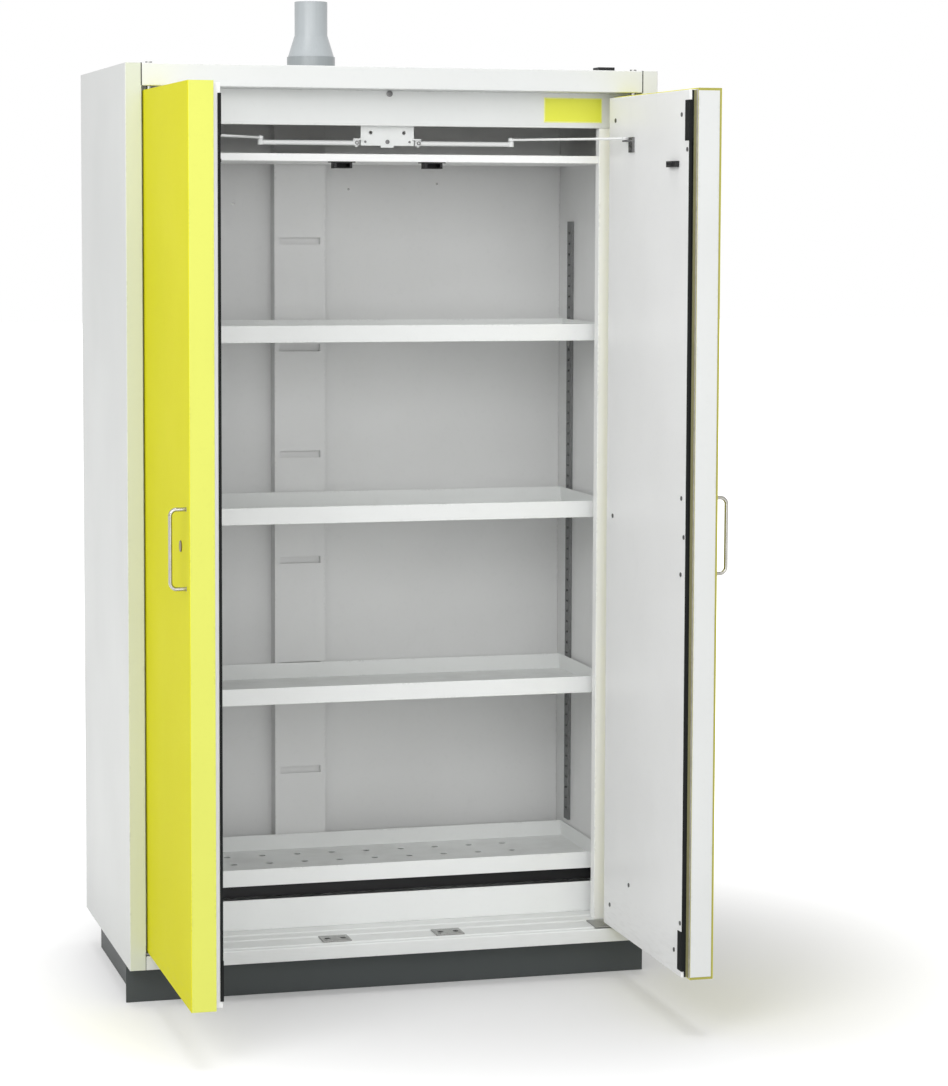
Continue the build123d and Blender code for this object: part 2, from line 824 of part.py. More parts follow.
def catch_clip():
    """Clip whose tongue runs into the catch under the ceiling panel."""
    base = leaf(
        catch_u - clip_base_width / 2, catch_u + clip_base_width / 2, inner_v, inner_v + clip_base_thick,
        catch_mid_z - catch_height / 2, catch_mid_z + catch_height / 2,
    )
    z0, z1 = catch_mid_z - clip_tongue_height / 2, catch_mid_z + clip_tongue_height / 2
    side = clip_tongue_width / 2
    v0, v1 = inner_v + clip_base_thick, inner_v + clip_reach
    u0, u1 = catch_u - side, catch_u + side
    shoulder = v1 - min(side, (v1 - v0) / 2)
    points = [(u0, v0), (u0, shoulder), (catch_u, v1), (u1, shoulder), (u1, v0)]
    outline = Polyline(*[(v - pivot_x, pivot_y - u, z0) for u, v in points], close=True)
    return base + extrude(make_face(outline), z1 - z0, dir=(0, 0, 1))


def closer_bracket():
    """Bracket on the inner face with the lug and pin that the closer rod turns on."""
    u1 = bracket_from_pivot + rod_eye_radius + bracket_width
    top = rod_low - elbow_gap
    base = leaf(
        u1 - bracket_width, u1, inner_v, inner_v + bracket_thick, top - bracket_height, top + rod_eye_height
    )
    base += leaf(bracket_from_pivot, u1, inner_v, bracket_v + rod_eye_radius, top - bracket_lug, top)
    base += leaf_upright(bracket_from_pivot, bracket_v, top - bracket_lug, top, rod_eye_radius)
    return base + leaf_upright(bracket_from_pivot, bracket_v, top, rod_low + rod_eye_height, arm_pin_radius)


def hinge_bushes():
    """Bushes set into the top and the foot of the door."""
    bores = leaf_upright(0, 0, door_bottom, door_top, pin_radius + pin_fit)
    return group([seat - bores for seat in bush_seats()])


def edge_strip():
    """White strip let onto the meeting edge of the right door, inside a coloured border."""
    return other_side(
        leaf(
            free_u, free_u + edge_strip_thick, outer_v + edge_strip_border, shell_v,
            door_bottom + edge_strip_border, door_top - edge_strip_border,
        )
    )


def lock_cylinder():
    """Lock cylinder with its key slot and the cam that drives the lock rod."""
    y = pivot_y - lock_u
    shape = leaf_stud(lock_u, handle_middle, lock_v0, lock_v1, lock_radius)
    shape -= block(
        lock_v0 - pivot_x, lock_v0 + lock_slot - pivot_x, y - lock_slot / 2, y + lock_slot / 2,
        handle_middle - lock_slot_height / 2, handle_middle + lock_slot_height / 2,
    )
    return shape + leaf(
        lock_u - lock_cam_length, lock_u, lock_v1 - lock_cam_thick, lock_v1,
        handle_middle - lock_cam_width / 2, handle_middle + lock_cam_width / 2,
    )


def lock_rod():
    """Rod that drops out of the foot of the door into its strike plate."""
    top = handle_middle - lock_cam_width
    return leaf_upright(lock_rod_u, lock_rod_v, door_bottom, top, lock_rod_radius)


# Every node

nodes = {
    "right_side_panel": side_panel(),
    "left_side_panel": other_side(side_panel()),
    "insulation_boards": insulation_boards(),
    "right_inner_liner": block(room, wall_in, frame_back, rear_board_in, floor_top, room_top),
    "left_inner_liner": block(-wall_in, -room, frame_back, rear_board_in, floor_top, room_top),
    "roof_panel": roof_panel(),
    "rear_panel": block(-wall_in, wall_in, back - sheet, back, base_height, height),
    "rear_liner": block(-room, room, rear_in, rear_board_in, floor_top, room_top),
    "floor_board": block(-wall_in, wall_in, sill_back, back - sheet, base_height, floor_top),
    "header_frame": block(-wall_in, wall_in, frame_front, header_back, header_bottom, fascia_bottom),
    "right_jamb": block(jamb_in, wall_in, frame_front, frame_back, sill_tread, header_bottom),
    "left_jamb": block(-wall_in, -jamb_in, frame_front, frame_back, sill_tread, header_bottom),
    "sill_rail": sill_rail(),
    "sill_plates": sill_plates(),
    "hinge_pins": hinge_pins(),
    "plinth_front": block(-half, half, plinth_front_y, plinth_front_y + plinth_sheet, 0, base_height),
    "base_frame": base_frame(),
    "levelling_feet": levelling_feet(),
    "ceiling_panel": ceiling_panel(),
    "top_catches": top_catches(),
    "shelf_rails": shelf_rails(),
    "shelf_clips": shelf_clips(),
    "bottom_insert": bottom_insert(),
    "sump_tray": sump_tray(),
    "exhaust_duct": exhaust_duct(),
    "exhaust_collar": exhaust_collar(),
    "exhaust_reducer": exhaust_reducer(),
    "exhaust_damper": exhaust_damper(),
    "supply_air_cap": supply_air_cap(),
    "closer_housing": closer_housing(),
    "header_screws": header_screws(),
    "header_plate": header_plate(),
    "right_closer_arm": closer_arm(),
    "left_closer_arm": other_side(closer_arm()),
    "right_closer_rod": closer_rod(),
    "left_closer_rod": other_side(closer_rod()),
    "right_door_edge_strip": edge_strip(),
    "lock_cylinder": lock_cylinder(),
    "lock_rod": lock_rod(),
}
for name, top in shelf_tops.items():
    nodes[name] = tray(shelf_half, tray_front_y, tray_back_y, top, sheet)

left_door = {
    "door_inner_panel": door_inner_panel(),
    "door_seal": door_seal(),
    "handle": handle(),
    "door_screws": screws(),
    "catch_clip": catch_clip(),
    "closer_bracket": closer_bracket(),
    "hinge_bushes": hinge_bushes(),
}
for name, shape in left_door.items():
    nodes["left_" + name] = shape
    nodes["right_" + name] = other_side(shape)
nodes["left_door_shell"] = door_skin(True)
nodes["left_door_core"] = door_core(True)
nodes["right_door_shell"] = other_side(door_skin(False))
nodes["right_door_core"] = other_side(door_core(False))

os.makedirs("parts", exist_ok=True)
for name, shape in nodes.items():
    export_step(shape, f"parts/{name}.step")
print(len(nodes), "nodes")
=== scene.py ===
import bpy
import json
import math
from mathutils import Matrix, Vector

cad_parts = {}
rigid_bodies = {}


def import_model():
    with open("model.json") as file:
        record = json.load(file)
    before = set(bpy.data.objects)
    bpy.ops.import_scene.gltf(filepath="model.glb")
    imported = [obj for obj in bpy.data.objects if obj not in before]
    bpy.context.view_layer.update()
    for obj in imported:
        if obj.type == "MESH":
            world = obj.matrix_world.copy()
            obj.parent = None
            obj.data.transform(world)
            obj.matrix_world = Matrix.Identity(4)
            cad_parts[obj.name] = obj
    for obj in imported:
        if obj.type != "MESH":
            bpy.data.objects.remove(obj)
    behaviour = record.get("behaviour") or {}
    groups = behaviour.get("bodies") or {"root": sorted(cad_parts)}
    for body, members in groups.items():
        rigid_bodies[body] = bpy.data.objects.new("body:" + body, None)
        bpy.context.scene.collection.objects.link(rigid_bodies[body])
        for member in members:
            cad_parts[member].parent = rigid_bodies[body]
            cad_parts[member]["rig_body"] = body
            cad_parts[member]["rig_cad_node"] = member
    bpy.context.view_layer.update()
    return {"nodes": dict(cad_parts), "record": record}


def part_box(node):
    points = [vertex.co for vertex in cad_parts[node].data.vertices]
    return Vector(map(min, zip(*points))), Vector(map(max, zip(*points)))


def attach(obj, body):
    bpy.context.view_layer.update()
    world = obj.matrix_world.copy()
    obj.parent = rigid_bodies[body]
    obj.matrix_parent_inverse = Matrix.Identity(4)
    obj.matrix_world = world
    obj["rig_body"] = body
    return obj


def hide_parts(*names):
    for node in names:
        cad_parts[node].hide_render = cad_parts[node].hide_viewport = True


bl_info = {
    "name": "Flammable safety cabinet",
    "version": (1, 0, 0),
    "blender": (4, 5, 0),
    "location": "View3D > Sidebar > Cabinet",
    "description": "Dresses the two-door safety cabinet around its packed frame",
    "category": "Object",
}

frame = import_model()

MM = 0.001


def mm(*values):
    return tuple(value * MM for value in values)


# Photograph, meshes, directions and brushed lines

PHOTO_WIDTH = 948
PHOTO_HEIGHT = 1086
SENSOR = 36.0
VIEW_END = 200.0
SMOOTH_ANGLE = math.radians(32)
SHARP_ANGLE = math.radians(38)
FLAT_ANGLE = math.radians(0.3)
MERGE = 1e-6
SQUARE_ON = 0.9
LONG_EDGE = 0.030
SHORT_EDGE = 0.0035
FINE_EDGE = SHORT_EDGE / 4
UP = (0.0, 0.0, 1.0)
FORWARD = (0.0, -1.0, 0.0)
BACKWARD = (0.0, 1.0, 0.0)
ALONG_Z = (900.0, 900.0, 14.0)
ALL_WAYS = (240.0, 240.0, 240.0)
SIDES = (("left", -1), ("right", 1))

# Nodes that are dressed by easing their edges

SOFT_BOARDS = (
    "header_frame", "ceiling_panel", "left_inner_liner", "right_inner_liner", "rear_liner", "floor_board",
    "left_door_inner_panel", "right_door_inner_panel",
)
JAMBS = ("left_jamb", "right_jamb")
SOFT_SHEETS = (
    "left_side_panel", "right_side_panel", "roof_panel", "left_door_shell", "right_door_shell", "sill_rail",
    "plinth_front", "base_frame", "exhaust_duct",
)
SOFT_FITTINGS = (
    "left_catch_clip", "right_catch_clip", "top_catches", "closer_housing", "sill_plates", "supply_air_cap",
    "left_door_seal", "right_door_seal", "right_door_edge_strip", "shelf_clips",
)

# Trays and duct

SHEET = 0.0015
SUMP_SHEET = 0.002
TRAY_WALLS = {"upper_shelf": SHEET, "middle_shelf": SHEET, "lower_shelf": SHEET, "sump_tray": SUMP_SHEET}
TRAY_LIP = 0.036
HOLE_RADIUS = 0.008
HOLE_PITCH = 0.080
HOLE_SIDES = 20
BAFFLE_HALF = 0.047
BAFFLE_RISE = 0.013
BAFFLE_DEPTH = 0.008
SLOT_TOP = 1.590
SLOT_PITCH = 0.239
SLOT_COUNT = 6
# Black sheet under the insert's lip: painted shade standing for the dark gap over the sump
SHADE_SHEET_SIDE = 2 * MM
SHADE_SHEET_FRONT = 28 * MM
SHADE_SHEET_BACK = 30 * MM

# Form of the screw heads, as shares of their radius or height

ROUND_SIDES = 32
SCREW_SIDES = 24
SCREW_SHOULDER = 0.28
SCREW_FLAT = 0.30
SCREW_DOME = 0.22
CROSS_LENGTH = 1.1
CROSS_WIDTH = 0.26
SOCKET_SIDES = 6
SOCKET_FLOOR = 0.3
SOCKET_WIDTH = 0.56
SOCKET_EASE = 0.12
PIN_SIDES = 28
PIN_BODY = 0.5
PIN_SHOULDER = (0.22, 0.3)
PIN_DOME = (0.30, 0.15)

# Screws: radius and height of each head, and their places in mm

DOOR_HEAD = mm(4.5, 1.6)
DOOR_PIVOT_Y = -297.0
DOOR_SCREWS = (
    (41, 168), (41, 1011), (41, 1849), (462, 168), (462, 1849), (497, 230), (497, 1011), (497, 1780),
    (169, 238), (481, 934.5), (481, 1087.5),
)
DOME_HEAD = mm(6.5, 2.4)
DOME_PLACE = mm(0, -240, 1902)
TAB_HEAD = mm(4.5, 1.6)
TAB_PLACE = mm(0, -222, 1802)
PIN_HEAD = mm(2.5, 1.2)
PIN_PLACES = (mm(-48, -222, 1802), mm(48, -222, 1802))
EYE_HEAD = mm(4.4, 1.8)
EYE_PLACE = (67, -226.8, 1799.5)
ELBOW_HEAD = mm(4.0, 1.8)
ELBOW_PLACE = (272, -220.5, 1812.4)
BRACKET_HEAD = mm(4.0, 1.6)
BRACKET_SCREWS = ((8, 22), (18, 8))
BRACKET_WIDTH = 0.028
BRACKET_THICK = 0.0045
BRACKET_CORNER = 0.007
ROOF_HEAD = mm(5.0, 1.8)
ROOF_SCREWS = (
    (-500, -180), (-500, 30), (-500, 240), (500, -180), (500, 30), (500, 240),
    (-250, 285), (0, 285), (250, 285),
)
REAR_HEAD = mm(5.5, 2.0)
REAR_INSET = 22 * MM
REAR_COLUMNS = 5
REAR_ROWS = 8
LINER_HEAD = mm(2.6, 0.9)
LINER_SCREWS = ((-241, 1672), (23, 1706), (229, 1719))
SILL_HEAD = mm(3.4, 1.0)
SILL_SCREWS = (-146, -102, 102, 146)
SILL_SCREW_Y = -286 * MM
SILL_SINK = 0.6 * MM

# Door edge, handle and blank plate

SEAL_DEPTH = 0.0055
SEAL_LIP = 0.0040
LIP_PROUD = 0.8 * MM
LIP_RIM = 1.5 * MM
LIP_GROOVE = 0.3 * MM
HANDLE_Y = -0.778
HANDLE_FEET = (934.5, 1087.5)
WASHER_RADIUS = 4.7 * MM
WASHER_HEIGHT = 0.7 * MM
WASHER_EASE = 0.3 * MM
LOCK_EDGE = 0.0008
PLATE_CORNER = 1.5 * MM
PLATE_BORDER = 2.6 * MM
PLATE_STEP = 0.5 * MM
PLATE_SINK = 0.3 * MM

# Roof, seams and spigot

TRIM_EASE = 0.4 * MM
GASKET_PROUD = 0.4 * MM
GASKET_EASE = 0.3 * MM
GASKET_BOTTOM = 1.909
GASKET_HOLLOW = 1.900
GASKET_REACH = 0.010
GASKET_END = 0.400
SEAM_PROUD = 0.3 * MM
SEAM_EASE = 0.1 * MM
RAMP_LENGTH = 36 * MM
RAMP_SIDE = 2 * MM
RAMP_GAP = 0.2 * MM
RAMP_DROP = 0.5 * MM
RAMP_TOE = 0.7 * MM
SPIGOT = (-0.070, 0.205)
COLLAR_EASE = 1.2 * MM
REDUCER_EASE = 0.8 * MM
COLLAR_RADIUS = 60.0 * MM
COLLAR_HEIGHT = 2.5 * MM
BORE_RADIUS = 53.6 * MM
BORE_DROP = 10 * MM
BORE_HEIGHT = 40 * MM
COLLAR_SIDES = 72

# Stage: each lamp's place, target, size and power

LAMPS = (
    ("front_softbox", (-0.5, -5.6, 2.2), (0.0, -0.2, 1.2), 3.0, 75.0),
    ("left_front_softbox", (-2.6, -3.2, 3.2), (0.0, -0.4, 1.1), 2.4, 77.0),
    ("top_softbox", (0.0, -0.8, 9.0), (0.0, -0.4, 1.0), 4.0, 240.0),
)
WORLD_LIGHT = 0.61
FLOOR_TONE = (0.62, 0.62, 0.62, 1.0)
# The floor's glow is lowest round an off-centre point and rises to white with distance: a painted soft shadow
# right of and in front of the cabinet.
PAINTED_SHADOW_GLOW = 0.14
FLOOR_NEAR = 0.40
FLOOR_FAR = 2.0
PAINTED_SHADOW_CENTRE = (0.25, -0.20, 0.0)
FLOOR_SIZE = 80.0
FLOOR_DROP = 0.0006


# Sizes and colours that a user would change

def tint(label, words, default):
    return bpy.props.FloatVectorProperty(
        name=label, description=words, subtype="COLOR", size=3, min=0.0, max=1.0, default=default
    )


def span(label, words, default):
    return bpy.props.FloatProperty(name=label, description=words, unit="LENGTH", default=default, precision=4)


def angle(label, words, degrees):
    default = math.radians(degrees)
    return bpy.props.FloatProperty(name=label, description=words, subtype="ANGLE", default=default)


def pixels(label, words, default):
    return bpy.props.FloatProperty(name=label, description=words, subtype="PIXEL", default=default)


class CabinetColours(bpy.types.PropertyGroup):
    """Base colours of the finishes; some of them are painted highlight or painted shade."""

    white_coat: tint("White coat", "Powder coat of the casing and door frame", (0.73, 0.745, 0.735))
    yellow_coat: tint("Yellow coat", "Powder coat of the doors", (0.78, 0.75, 0.022))
    # End coat paints the left door's front edge paler: a painted highlight where the lamps face it squarely.
    end_painted_highlight: tint("End coat", "Paler front edge of the left door", (0.69, 0.72, 0.12))
    # Edge coat paints the right door's thin front edge darker: painted shade on the same yellow paint.
    edge_painted_shade: tint("Edge coat", "Darker front edge of the right door", (0.40, 0.38, 0.07))
    # Return coat paints the left return darker and yellower: painted shade from the open door and painted
    # yellow light bounced off it.
    return_painted_shade_and_bounce: tint("Return coat", "Left return, toned by the open door", (0.645, 0.675, 0.585))
    plate_film: tint("Plate film", "Face of the blank plate", (0.76, 0.78, 0.066))
    plate_border: tint("Plate border", "Pale edge of the blank plate", (0.84, 0.86, 0.30))
    plinth_coat: tint("Plinth coat", "Dark coat of the plinth and base frame", (0.060, 0.068, 0.068))
    tray_coat: tint("Tray coat", "Light coat of the shelves and the sump", (0.84, 0.855, 0.845))
    grey_board: tint("Grey board", "Melamine boards of the inside", (0.77, 0.775, 0.77))
    white_board: tint("White board", "Melamine boards inside the doors", (0.89, 0.895, 0.89))
    rear_coat: tint("Rear coat", "Plain coat of the rear sheet", (0.58, 0.59, 0.59))
    closer_coat: tint("Closer coat", "Silver coat of the closer arms and rods", (0.72, 0.73, 0.725))
    # Lip coat paints the right door's yellow lip dark olive: painted shade in the groove beside the seal.
    lip_painted_shade: tint("Lip coat", "Shaded lip of the right door", (0.22, 0.21, 0.10))
    # Jamb coat is a brighter white than the casing: painted light on the jambs where the open right door
    # keeps light off.
    jamb_painted_light: tint("Jamb coat", "Bright coat of the two jambs", (0.94, 0.945, 0.93))
    lock_face: tint("Lock face", "Browned face of the lock", (0.18, 0.135, 0.075))
    rail_zinc: tint("Rail zinc", "Slotted rails of the shelves", (0.24, 0.245, 0.245))
    dark_steel: tint("Dark steel", "Blackened screws and brackets", (0.17, 0.17, 0.17))
    fire_board: tint("Fire board", "Mineral boards inside the walls", (0.55, 0.53, 0.48))
    handle_steel: tint("Handle steel", "Bright steel of the handle bows", (0.39, 0.38, 0.35))
    satin_steel: tint("Satin steel", "Washers, screws and sill plates", (0.32, 0.32, 0.31))
    zinc_steel: tint("Zinc steel", "Closer housing, shelf clips and feet", (0.33, 0.34, 0.345))
    bronze: tint("Bronze", "Bushes of the door pins", (0.42, 0.28, 0.12))
    seal: tint("Seal", "Fire seals of the doors", (0.012, 0.013, 0.013))
    black_plastic: tint("Black plastic", "Catches, clips and the air cap", (0.014, 0.014, 0.015))
    pipe: tint("Pipe", "Exhaust reducer and spigot", (0.41, 0.44, 0.455))
    pipe_ring: tint("Pipe ring", "Roof collar under the reducer", (0.30, 0.325, 0.335))


class CabinetSizes(bpy.types.PropertyGroup):
    """Small sizes of the dressed pieces."""

    fold: span("Fold", "Radius of folded sheet edges", 0.0016)
    board_edge: span("Board edge", "Rounding of board edges", 0.0012)
    small_edge: span("Small edge", "Rounding of small fittings", 0.0006)
    seam: span("Seam", "Width of the gasket between roof and sides", 0.0022)
    screw_recess: span("Screw recess", "Depth of the drive in a screw head", 0.0011)


class CabinetView(bpy.types.PropertyGroup):
    """Where the photograph was taken from."""

    place: bpy.props.FloatVectorProperty(
        name="Place", description="Camera position", subtype="TRANSLATION", size=3,
        default=(-1.5710, -6.5761, 1.6498),
    )
    tilt: angle("Tilt", "How far the camera looks down", 4.912)
    turn: angle("Turn", "How far the camera turns to the right", 15.51)
    roll: angle("Roll", "Roll of the camera", 0.217)
    focal_pixels: pixels("Focal length", "Focal length in pixels of the photograph", 3086.7)
    axis_row: pixels("Axis row", "Row of the photograph that the camera's axis meets", 480.0)


# Shader nodes

def shader_node(tree, kind, **settings):
    node = tree.nodes.new(kind)
    for key, value in settings.items():
        setattr(node, key, value)
    return node


def feed(tree, socket, value):
    """Links a socket, or sets a plain value on it."""
    if isinstance(value, bpy.types.NodeSocket):
        tree.links.new(value, socket)
    else:
        socket.default_value = value


def maths(tree, operation, first, second=0.0, clamp=False):
    node = shader_node(tree, "ShaderNodeMath", operation=operation, use_clamp=clamp)
    feed(tree, node.inputs[0], first)
    feed(tree, node.inputs[1], second)
    return node.outputs[0]


def times(tree, first, second, clamp=False):
    return maths(tree, "MULTIPLY", first, second, clamp)


def plus(tree, first, second, clamp=False):
    return maths(tree, "ADD", first, second, clamp)


def around_zero(tree, value, reach):
    """A noise value moved to swing about zero, and scaled."""
    return times(tree, maths(tree, "SUBTRACT", value, 0.5), reach)


def spread(tree, value, low, high, to_low=0.0, to_high=1.0):
    """Maps a value from one range to another with a soft start and end."""
    node = shader_node(tree, "ShaderNodeMapRange", interpolation_type="SMOOTHSTEP")
    for socket, item in zip(node.inputs[:5], (value, low, high, to_low, to_high)):
        feed(tree, socket, item)
    return node.outputs[0]


def noise(tree, vector, scale, detail=2.0, rough=0.5):
    node = shader_node(tree, "ShaderNodeTexNoise")
    for label, value in (("Vector", vector), ("Scale", scale), ("Detail", detail), ("Roughness", rough)):
        feed(tree, node.inputs[label], value)
    return node.outputs["Fac"]


def blend_colour(tree, factor, first, second):
    node = shader_node(tree, "ShaderNodeMix", data_type="RGBA")
    feed(tree, node.inputs[0], factor)
    feed(tree, node.inputs[6], first)
    feed(tree, node.inputs[7], second)
    return node.outputs[2]


def stretched(tree, vector, scale):
    node = shader_node(tree, "ShaderNodeMapping")
    feed(tree, node.inputs["Vector"], vector)
    feed(tree, node.inputs["Scale"], scale)
    return node.outputs["Vector"]


def axes_of(tree, vector):
    node = shader_node(tree, "ShaderNodeSeparateXYZ")
    feed(tree, node.inputs[0], vector)
    return node.outputs


def new_group(name, inputs, outputs):
    tree = bpy.data.node_groups.new(name, "ShaderNodeTree")
    for label, kind in inputs:
        tree.interface.new_socket(label, in_out="INPUT", socket_type="NodeSocket" + kind)
    for label, kind in outputs:
        tree.interface.new_socket(label, in_out="OUTPUT", socket_type="NodeSocket" + kind)
    return tree, tree.nodes.new("NodeGroupInput").outputs, tree.nodes.new("NodeGroupOutput").inputs


def coat_grain_group():
    """Orange-peel grain of a powder coat with a slow change of tone."""
    tree, given, made = new_group(
        "Coat grain",
        [("Place", "Vector"), ("Colour", "Color"), ("Shade", "Color"), ("Tone", "Float"), ("Gloss", "Float"),
         ("Grain", "Float")],
        [("Colour", "Color"), ("Roughness", "Float"), ("Height", "Float")],
    )
    slow = noise(tree, given["Place"], 2.6, 3.0)
    peel = noise(tree, given["Place"], given["Grain"], 1.5)
    speck = noise(tree, given["Place"], 95.0, 2.0)
    mottle = times(tree, spread(tree, slow, 0.34, 0.68), given["Tone"])
    fleck = times(tree, spread(tree, speck, 0.56, 0.74), times(tree, given["Tone"], 0.35))
    feed(tree, made["Colour"], blend_colour(tree, plus(tree, mottle, fleck), given["Colour"], given["Shade"]))
    wander = plus(tree, around_zero(tree, slow, 0.16), around_zero(tree, peel, 0.10))
    feed(tree, made["Roughness"], plus(tree, given["Gloss"], wander, clamp=True))
    feed(tree, made["Height"], plus(tree, peel, times(tree, speck, 0.6)))
    return tree


def edge_rub_group():
    """Mask that is strongest on the edges of a box and broken up by grain."""
    tree, given, made = new_group(
        "Edge rub",
        [("Place", "Vector"), ("Low", "Vector"), ("High", "Vector"), ("Reach", "Float")],
        [("Mask", "Float")],
    )
    place, low, high = (axes_of(tree, given[source]) for source in ("Place", "Low", "High"))
    away = []
    for axis in range(3):
        from_low = maths(tree, "SUBTRACT", place[axis], low[axis])
        from_high = maths(tree, "SUBTRACT", high[axis], place[axis])
        away.append(maths(tree, "MINIMUM", from_low, from_high))
    nearer = maths(tree, "MINIMUM", away[0], away[1])
    farther = maths(tree, "MAXIMUM", away[0], away[1])
    second = maths(tree, "MAXIMUM", nearer, maths(tree, "MINIMUM", farther, away[2]))
    near = spread(tree, second, given["Reach"], 0.0)
    patch = spread(tree, noise(tree, given["Place"], 14.0, 4.0, 0.62), 0.42, 0.66)
    nick = spread(tree, noise(tree, given["Place"], 160.0, 2.0), 0.40, 0.62)
    feed(tree, made["Mask"], times(tree, near, times(tree, patch, nick), clamp=True))
    return tree


def floor_dust_group():
    """Mask of dust that lies on upward faces and gathers low down."""
    tree, given, made = new_group(
        "Floor dust", [("Place", "Vector"), ("Level", "Float"), ("Fade", "Float")], [("Mask", "Float")]
    )
    facing = axes_of(tree, shader_node(tree, "ShaderNodeNewGeometry").outputs["Normal"])
    rise = axes_of(tree, given["Place"])[2]
    lying = spread(tree, facing[2], 0.55, 0.98)
    low = spread(tree, rise, plus(tree, given["Level"], given["Fade"]), given["Level"])
    cloud = spread(tree, noise(tree, given["Place"], 9.0, 5.0, 0.6), 0.36, 0.72)
    drawn = stretched(tree, given["Place"], (22.0, 22.0, 160.0))
    streak = spread(tree, noise(tree, drawn, 1.0, 3.0), 0.44, 0.70)
    settled = times(tree, lying, cloud)
    scuffed = times(tree, low, streak)
    feed(tree, made["Mask"], maths(tree, "MAXIMUM", settled, scuffed, clamp=True))
    return tree


def brush_lines_group():
    """Fine drawn lines of satin steel."""
    tree, given, made = new_group(
        "Brush lines",
        [("Place", "Vector"), ("Stretch", "Vector"), ("Gloss", "Float")],
        [("Roughness", "Float"), ("Height", "Float"), ("Tone", "Float")],
    )
    drawn = shader_node(tree, "ShaderNodeVectorMath", operation="MULTIPLY")
    feed(tree, drawn.inputs[0], given["Place"])
    feed(tree, drawn.inputs[1], given["Stretch"])
    lines = noise(tree, drawn.outputs[0], 1.0, 3.0, 0.7)
    smear = noise(tree, given["Place"], 38.0, 3.0)
    rough = plus(tree, given["Gloss"], around_zero(tree, lines, 0.30))
    feed(tree, made["Roughness"], plus(tree, rough, around_zero(tree, smear, 0.22), clamp=True))
    feed(tree, made["Height"], lines)
    feed(tree, made["Tone"], spread(tree, plus(tree, lines, times(tree, smear, 0.5)), 0.55, 1.0))
    return tree


GROUP_MAKERS = {
    "Coat grain": coat_grain_group,
    "Edge rub": edge_rub_group,
    "Floor dust": floor_dust_group,
    "Brush lines": brush_lines_group,
}


def shared_group(tree, name, **values):
    """Places a shared effect in a material with its own values."""
    if name not in bpy.data.node_groups:
        GROUP_MAKERS[name]()
    node = shader_node(tree, "ShaderNodeGroup", node_tree=bpy.data.node_groups[name])
    for label, value in values.items():
        feed(tree, node.inputs[label], value)
    return node.outputs


def rgba(colour, factor=1.0):
    return (*(min(1.0, channel * factor) for channel in colour), 1.0)


def grained_coat(tree, place, colour, shade, tone, gloss, grain):
    return shared_group(
        tree, "Coat grain", Place=place, Colour=rgba(colour), Shade=rgba(colour, shade), Tone=tone,
        Gloss=gloss, Grain=grain,
    )


def rubbed_edges(tree, place, box, reach):
    return shared_group(tree, "Edge rub", Place=place, Low=box[0], High=box[1], Reach=reach)["Mask"]


def fade_to(tree, mask, strength, first, second):
    """Blends one colour to another where a mask says so."""
    return blend_colour(tree, times(tree, mask, strength), first, second)


# Finishes

DUST = (0.42, 0.41, 0.385, 1.0)
BOARD_DUST = (0.40, 0.39, 0.37, 1.0)


def start_material(name):
    material = bpy.data.materials.new(name)
    material.use_nodes = True
    tree = material.node_tree
    place = shader_node(tree, "ShaderNodeTexCoord").outputs["Object"]
    return material, tree, tree.nodes["Principled BSDF"].inputs, place


def bump(tree, shader, height, strength, distance):
    node = shader_node(tree, "ShaderNodeBump")
    node.inputs["Strength"].default_value = strength
    node.inputs["Distance"].default_value = distance
    feed(tree, node.inputs["Height"], height)
    feed(tree, shader["Normal"], node.outputs["Normal"])


def coat(name, colour, box, tone=0.35, gloss=0.42, grain=520.0, rub=0.30, dust=0.0, level=0.0, peel=0.10,
         fade=0.10, shine=0.35):
    """Powder coat with orange peel, rubbed edges and a little dust."""
    material, tree, shader, place = start_material(name)
    shader["Specular IOR Level"].default_value = shine
    grained = grained_coat(tree, place, colour, 0.90, tone, gloss, grain)
    rubbed = rubbed_edges(tree, place, box, 0.006)
    paint = fade_to(tree, rubbed, rub, grained["Colour"], rgba(colour, 0.62))
    if dust:
        lying = shared_group(tree, "Floor dust", Place=place, Level=level, Fade=fade)["Mask"]
        paint = fade_to(tree, lying, dust, paint, DUST)
    feed(tree, shader["Base Color"], paint)
    worn = maths(tree, "SUBTRACT", grained["Roughness"], times(tree, rubbed, 0.12), clamp=True)
    feed(tree, shader["Roughness"], worn)
    bump(tree, shader, grained["Height"], peel, 0.0006)
    return material


def board(name, colour, box, gloss=0.46, dust=0.0, level=0.0):
    """Melamine-faced board: a fine pearl grain and faint hand marks."""
    material, tree, shader, place = start_material(name)
    grained = grained_coat(tree, place, colour, 0.92, 0.5, gloss, 900.0)
    marks = spread(tree, noise(tree, stretched(tree, place, (3.0, 3.0, 1.2)), 4.0, 6.0, 0.66), 0.58, 0.80)
    face = fade_to(tree, marks, 0.22, grained["Colour"], rgba(colour, 0.84))
    face = fade_to(tree, rubbed_edges(tree, place, box, 0.005), 0.4, face, rgba(colour, 0.66))
    if dust:
        lying = shared_group(tree, "Floor dust", Place=place, Level=level, Fade=0.12)["Mask"]
        face = fade_to(tree, lying, dust, face, BOARD_DUST)
    feed(tree, shader["Base Color"], face)
    feed(tree, shader["Roughness"], plus(tree, grained["Roughness"], times(tree, marks, 0.12), clamp=True))
    bump(tree, shader, grained["Height"], 0.06, 0.0004)
    return material


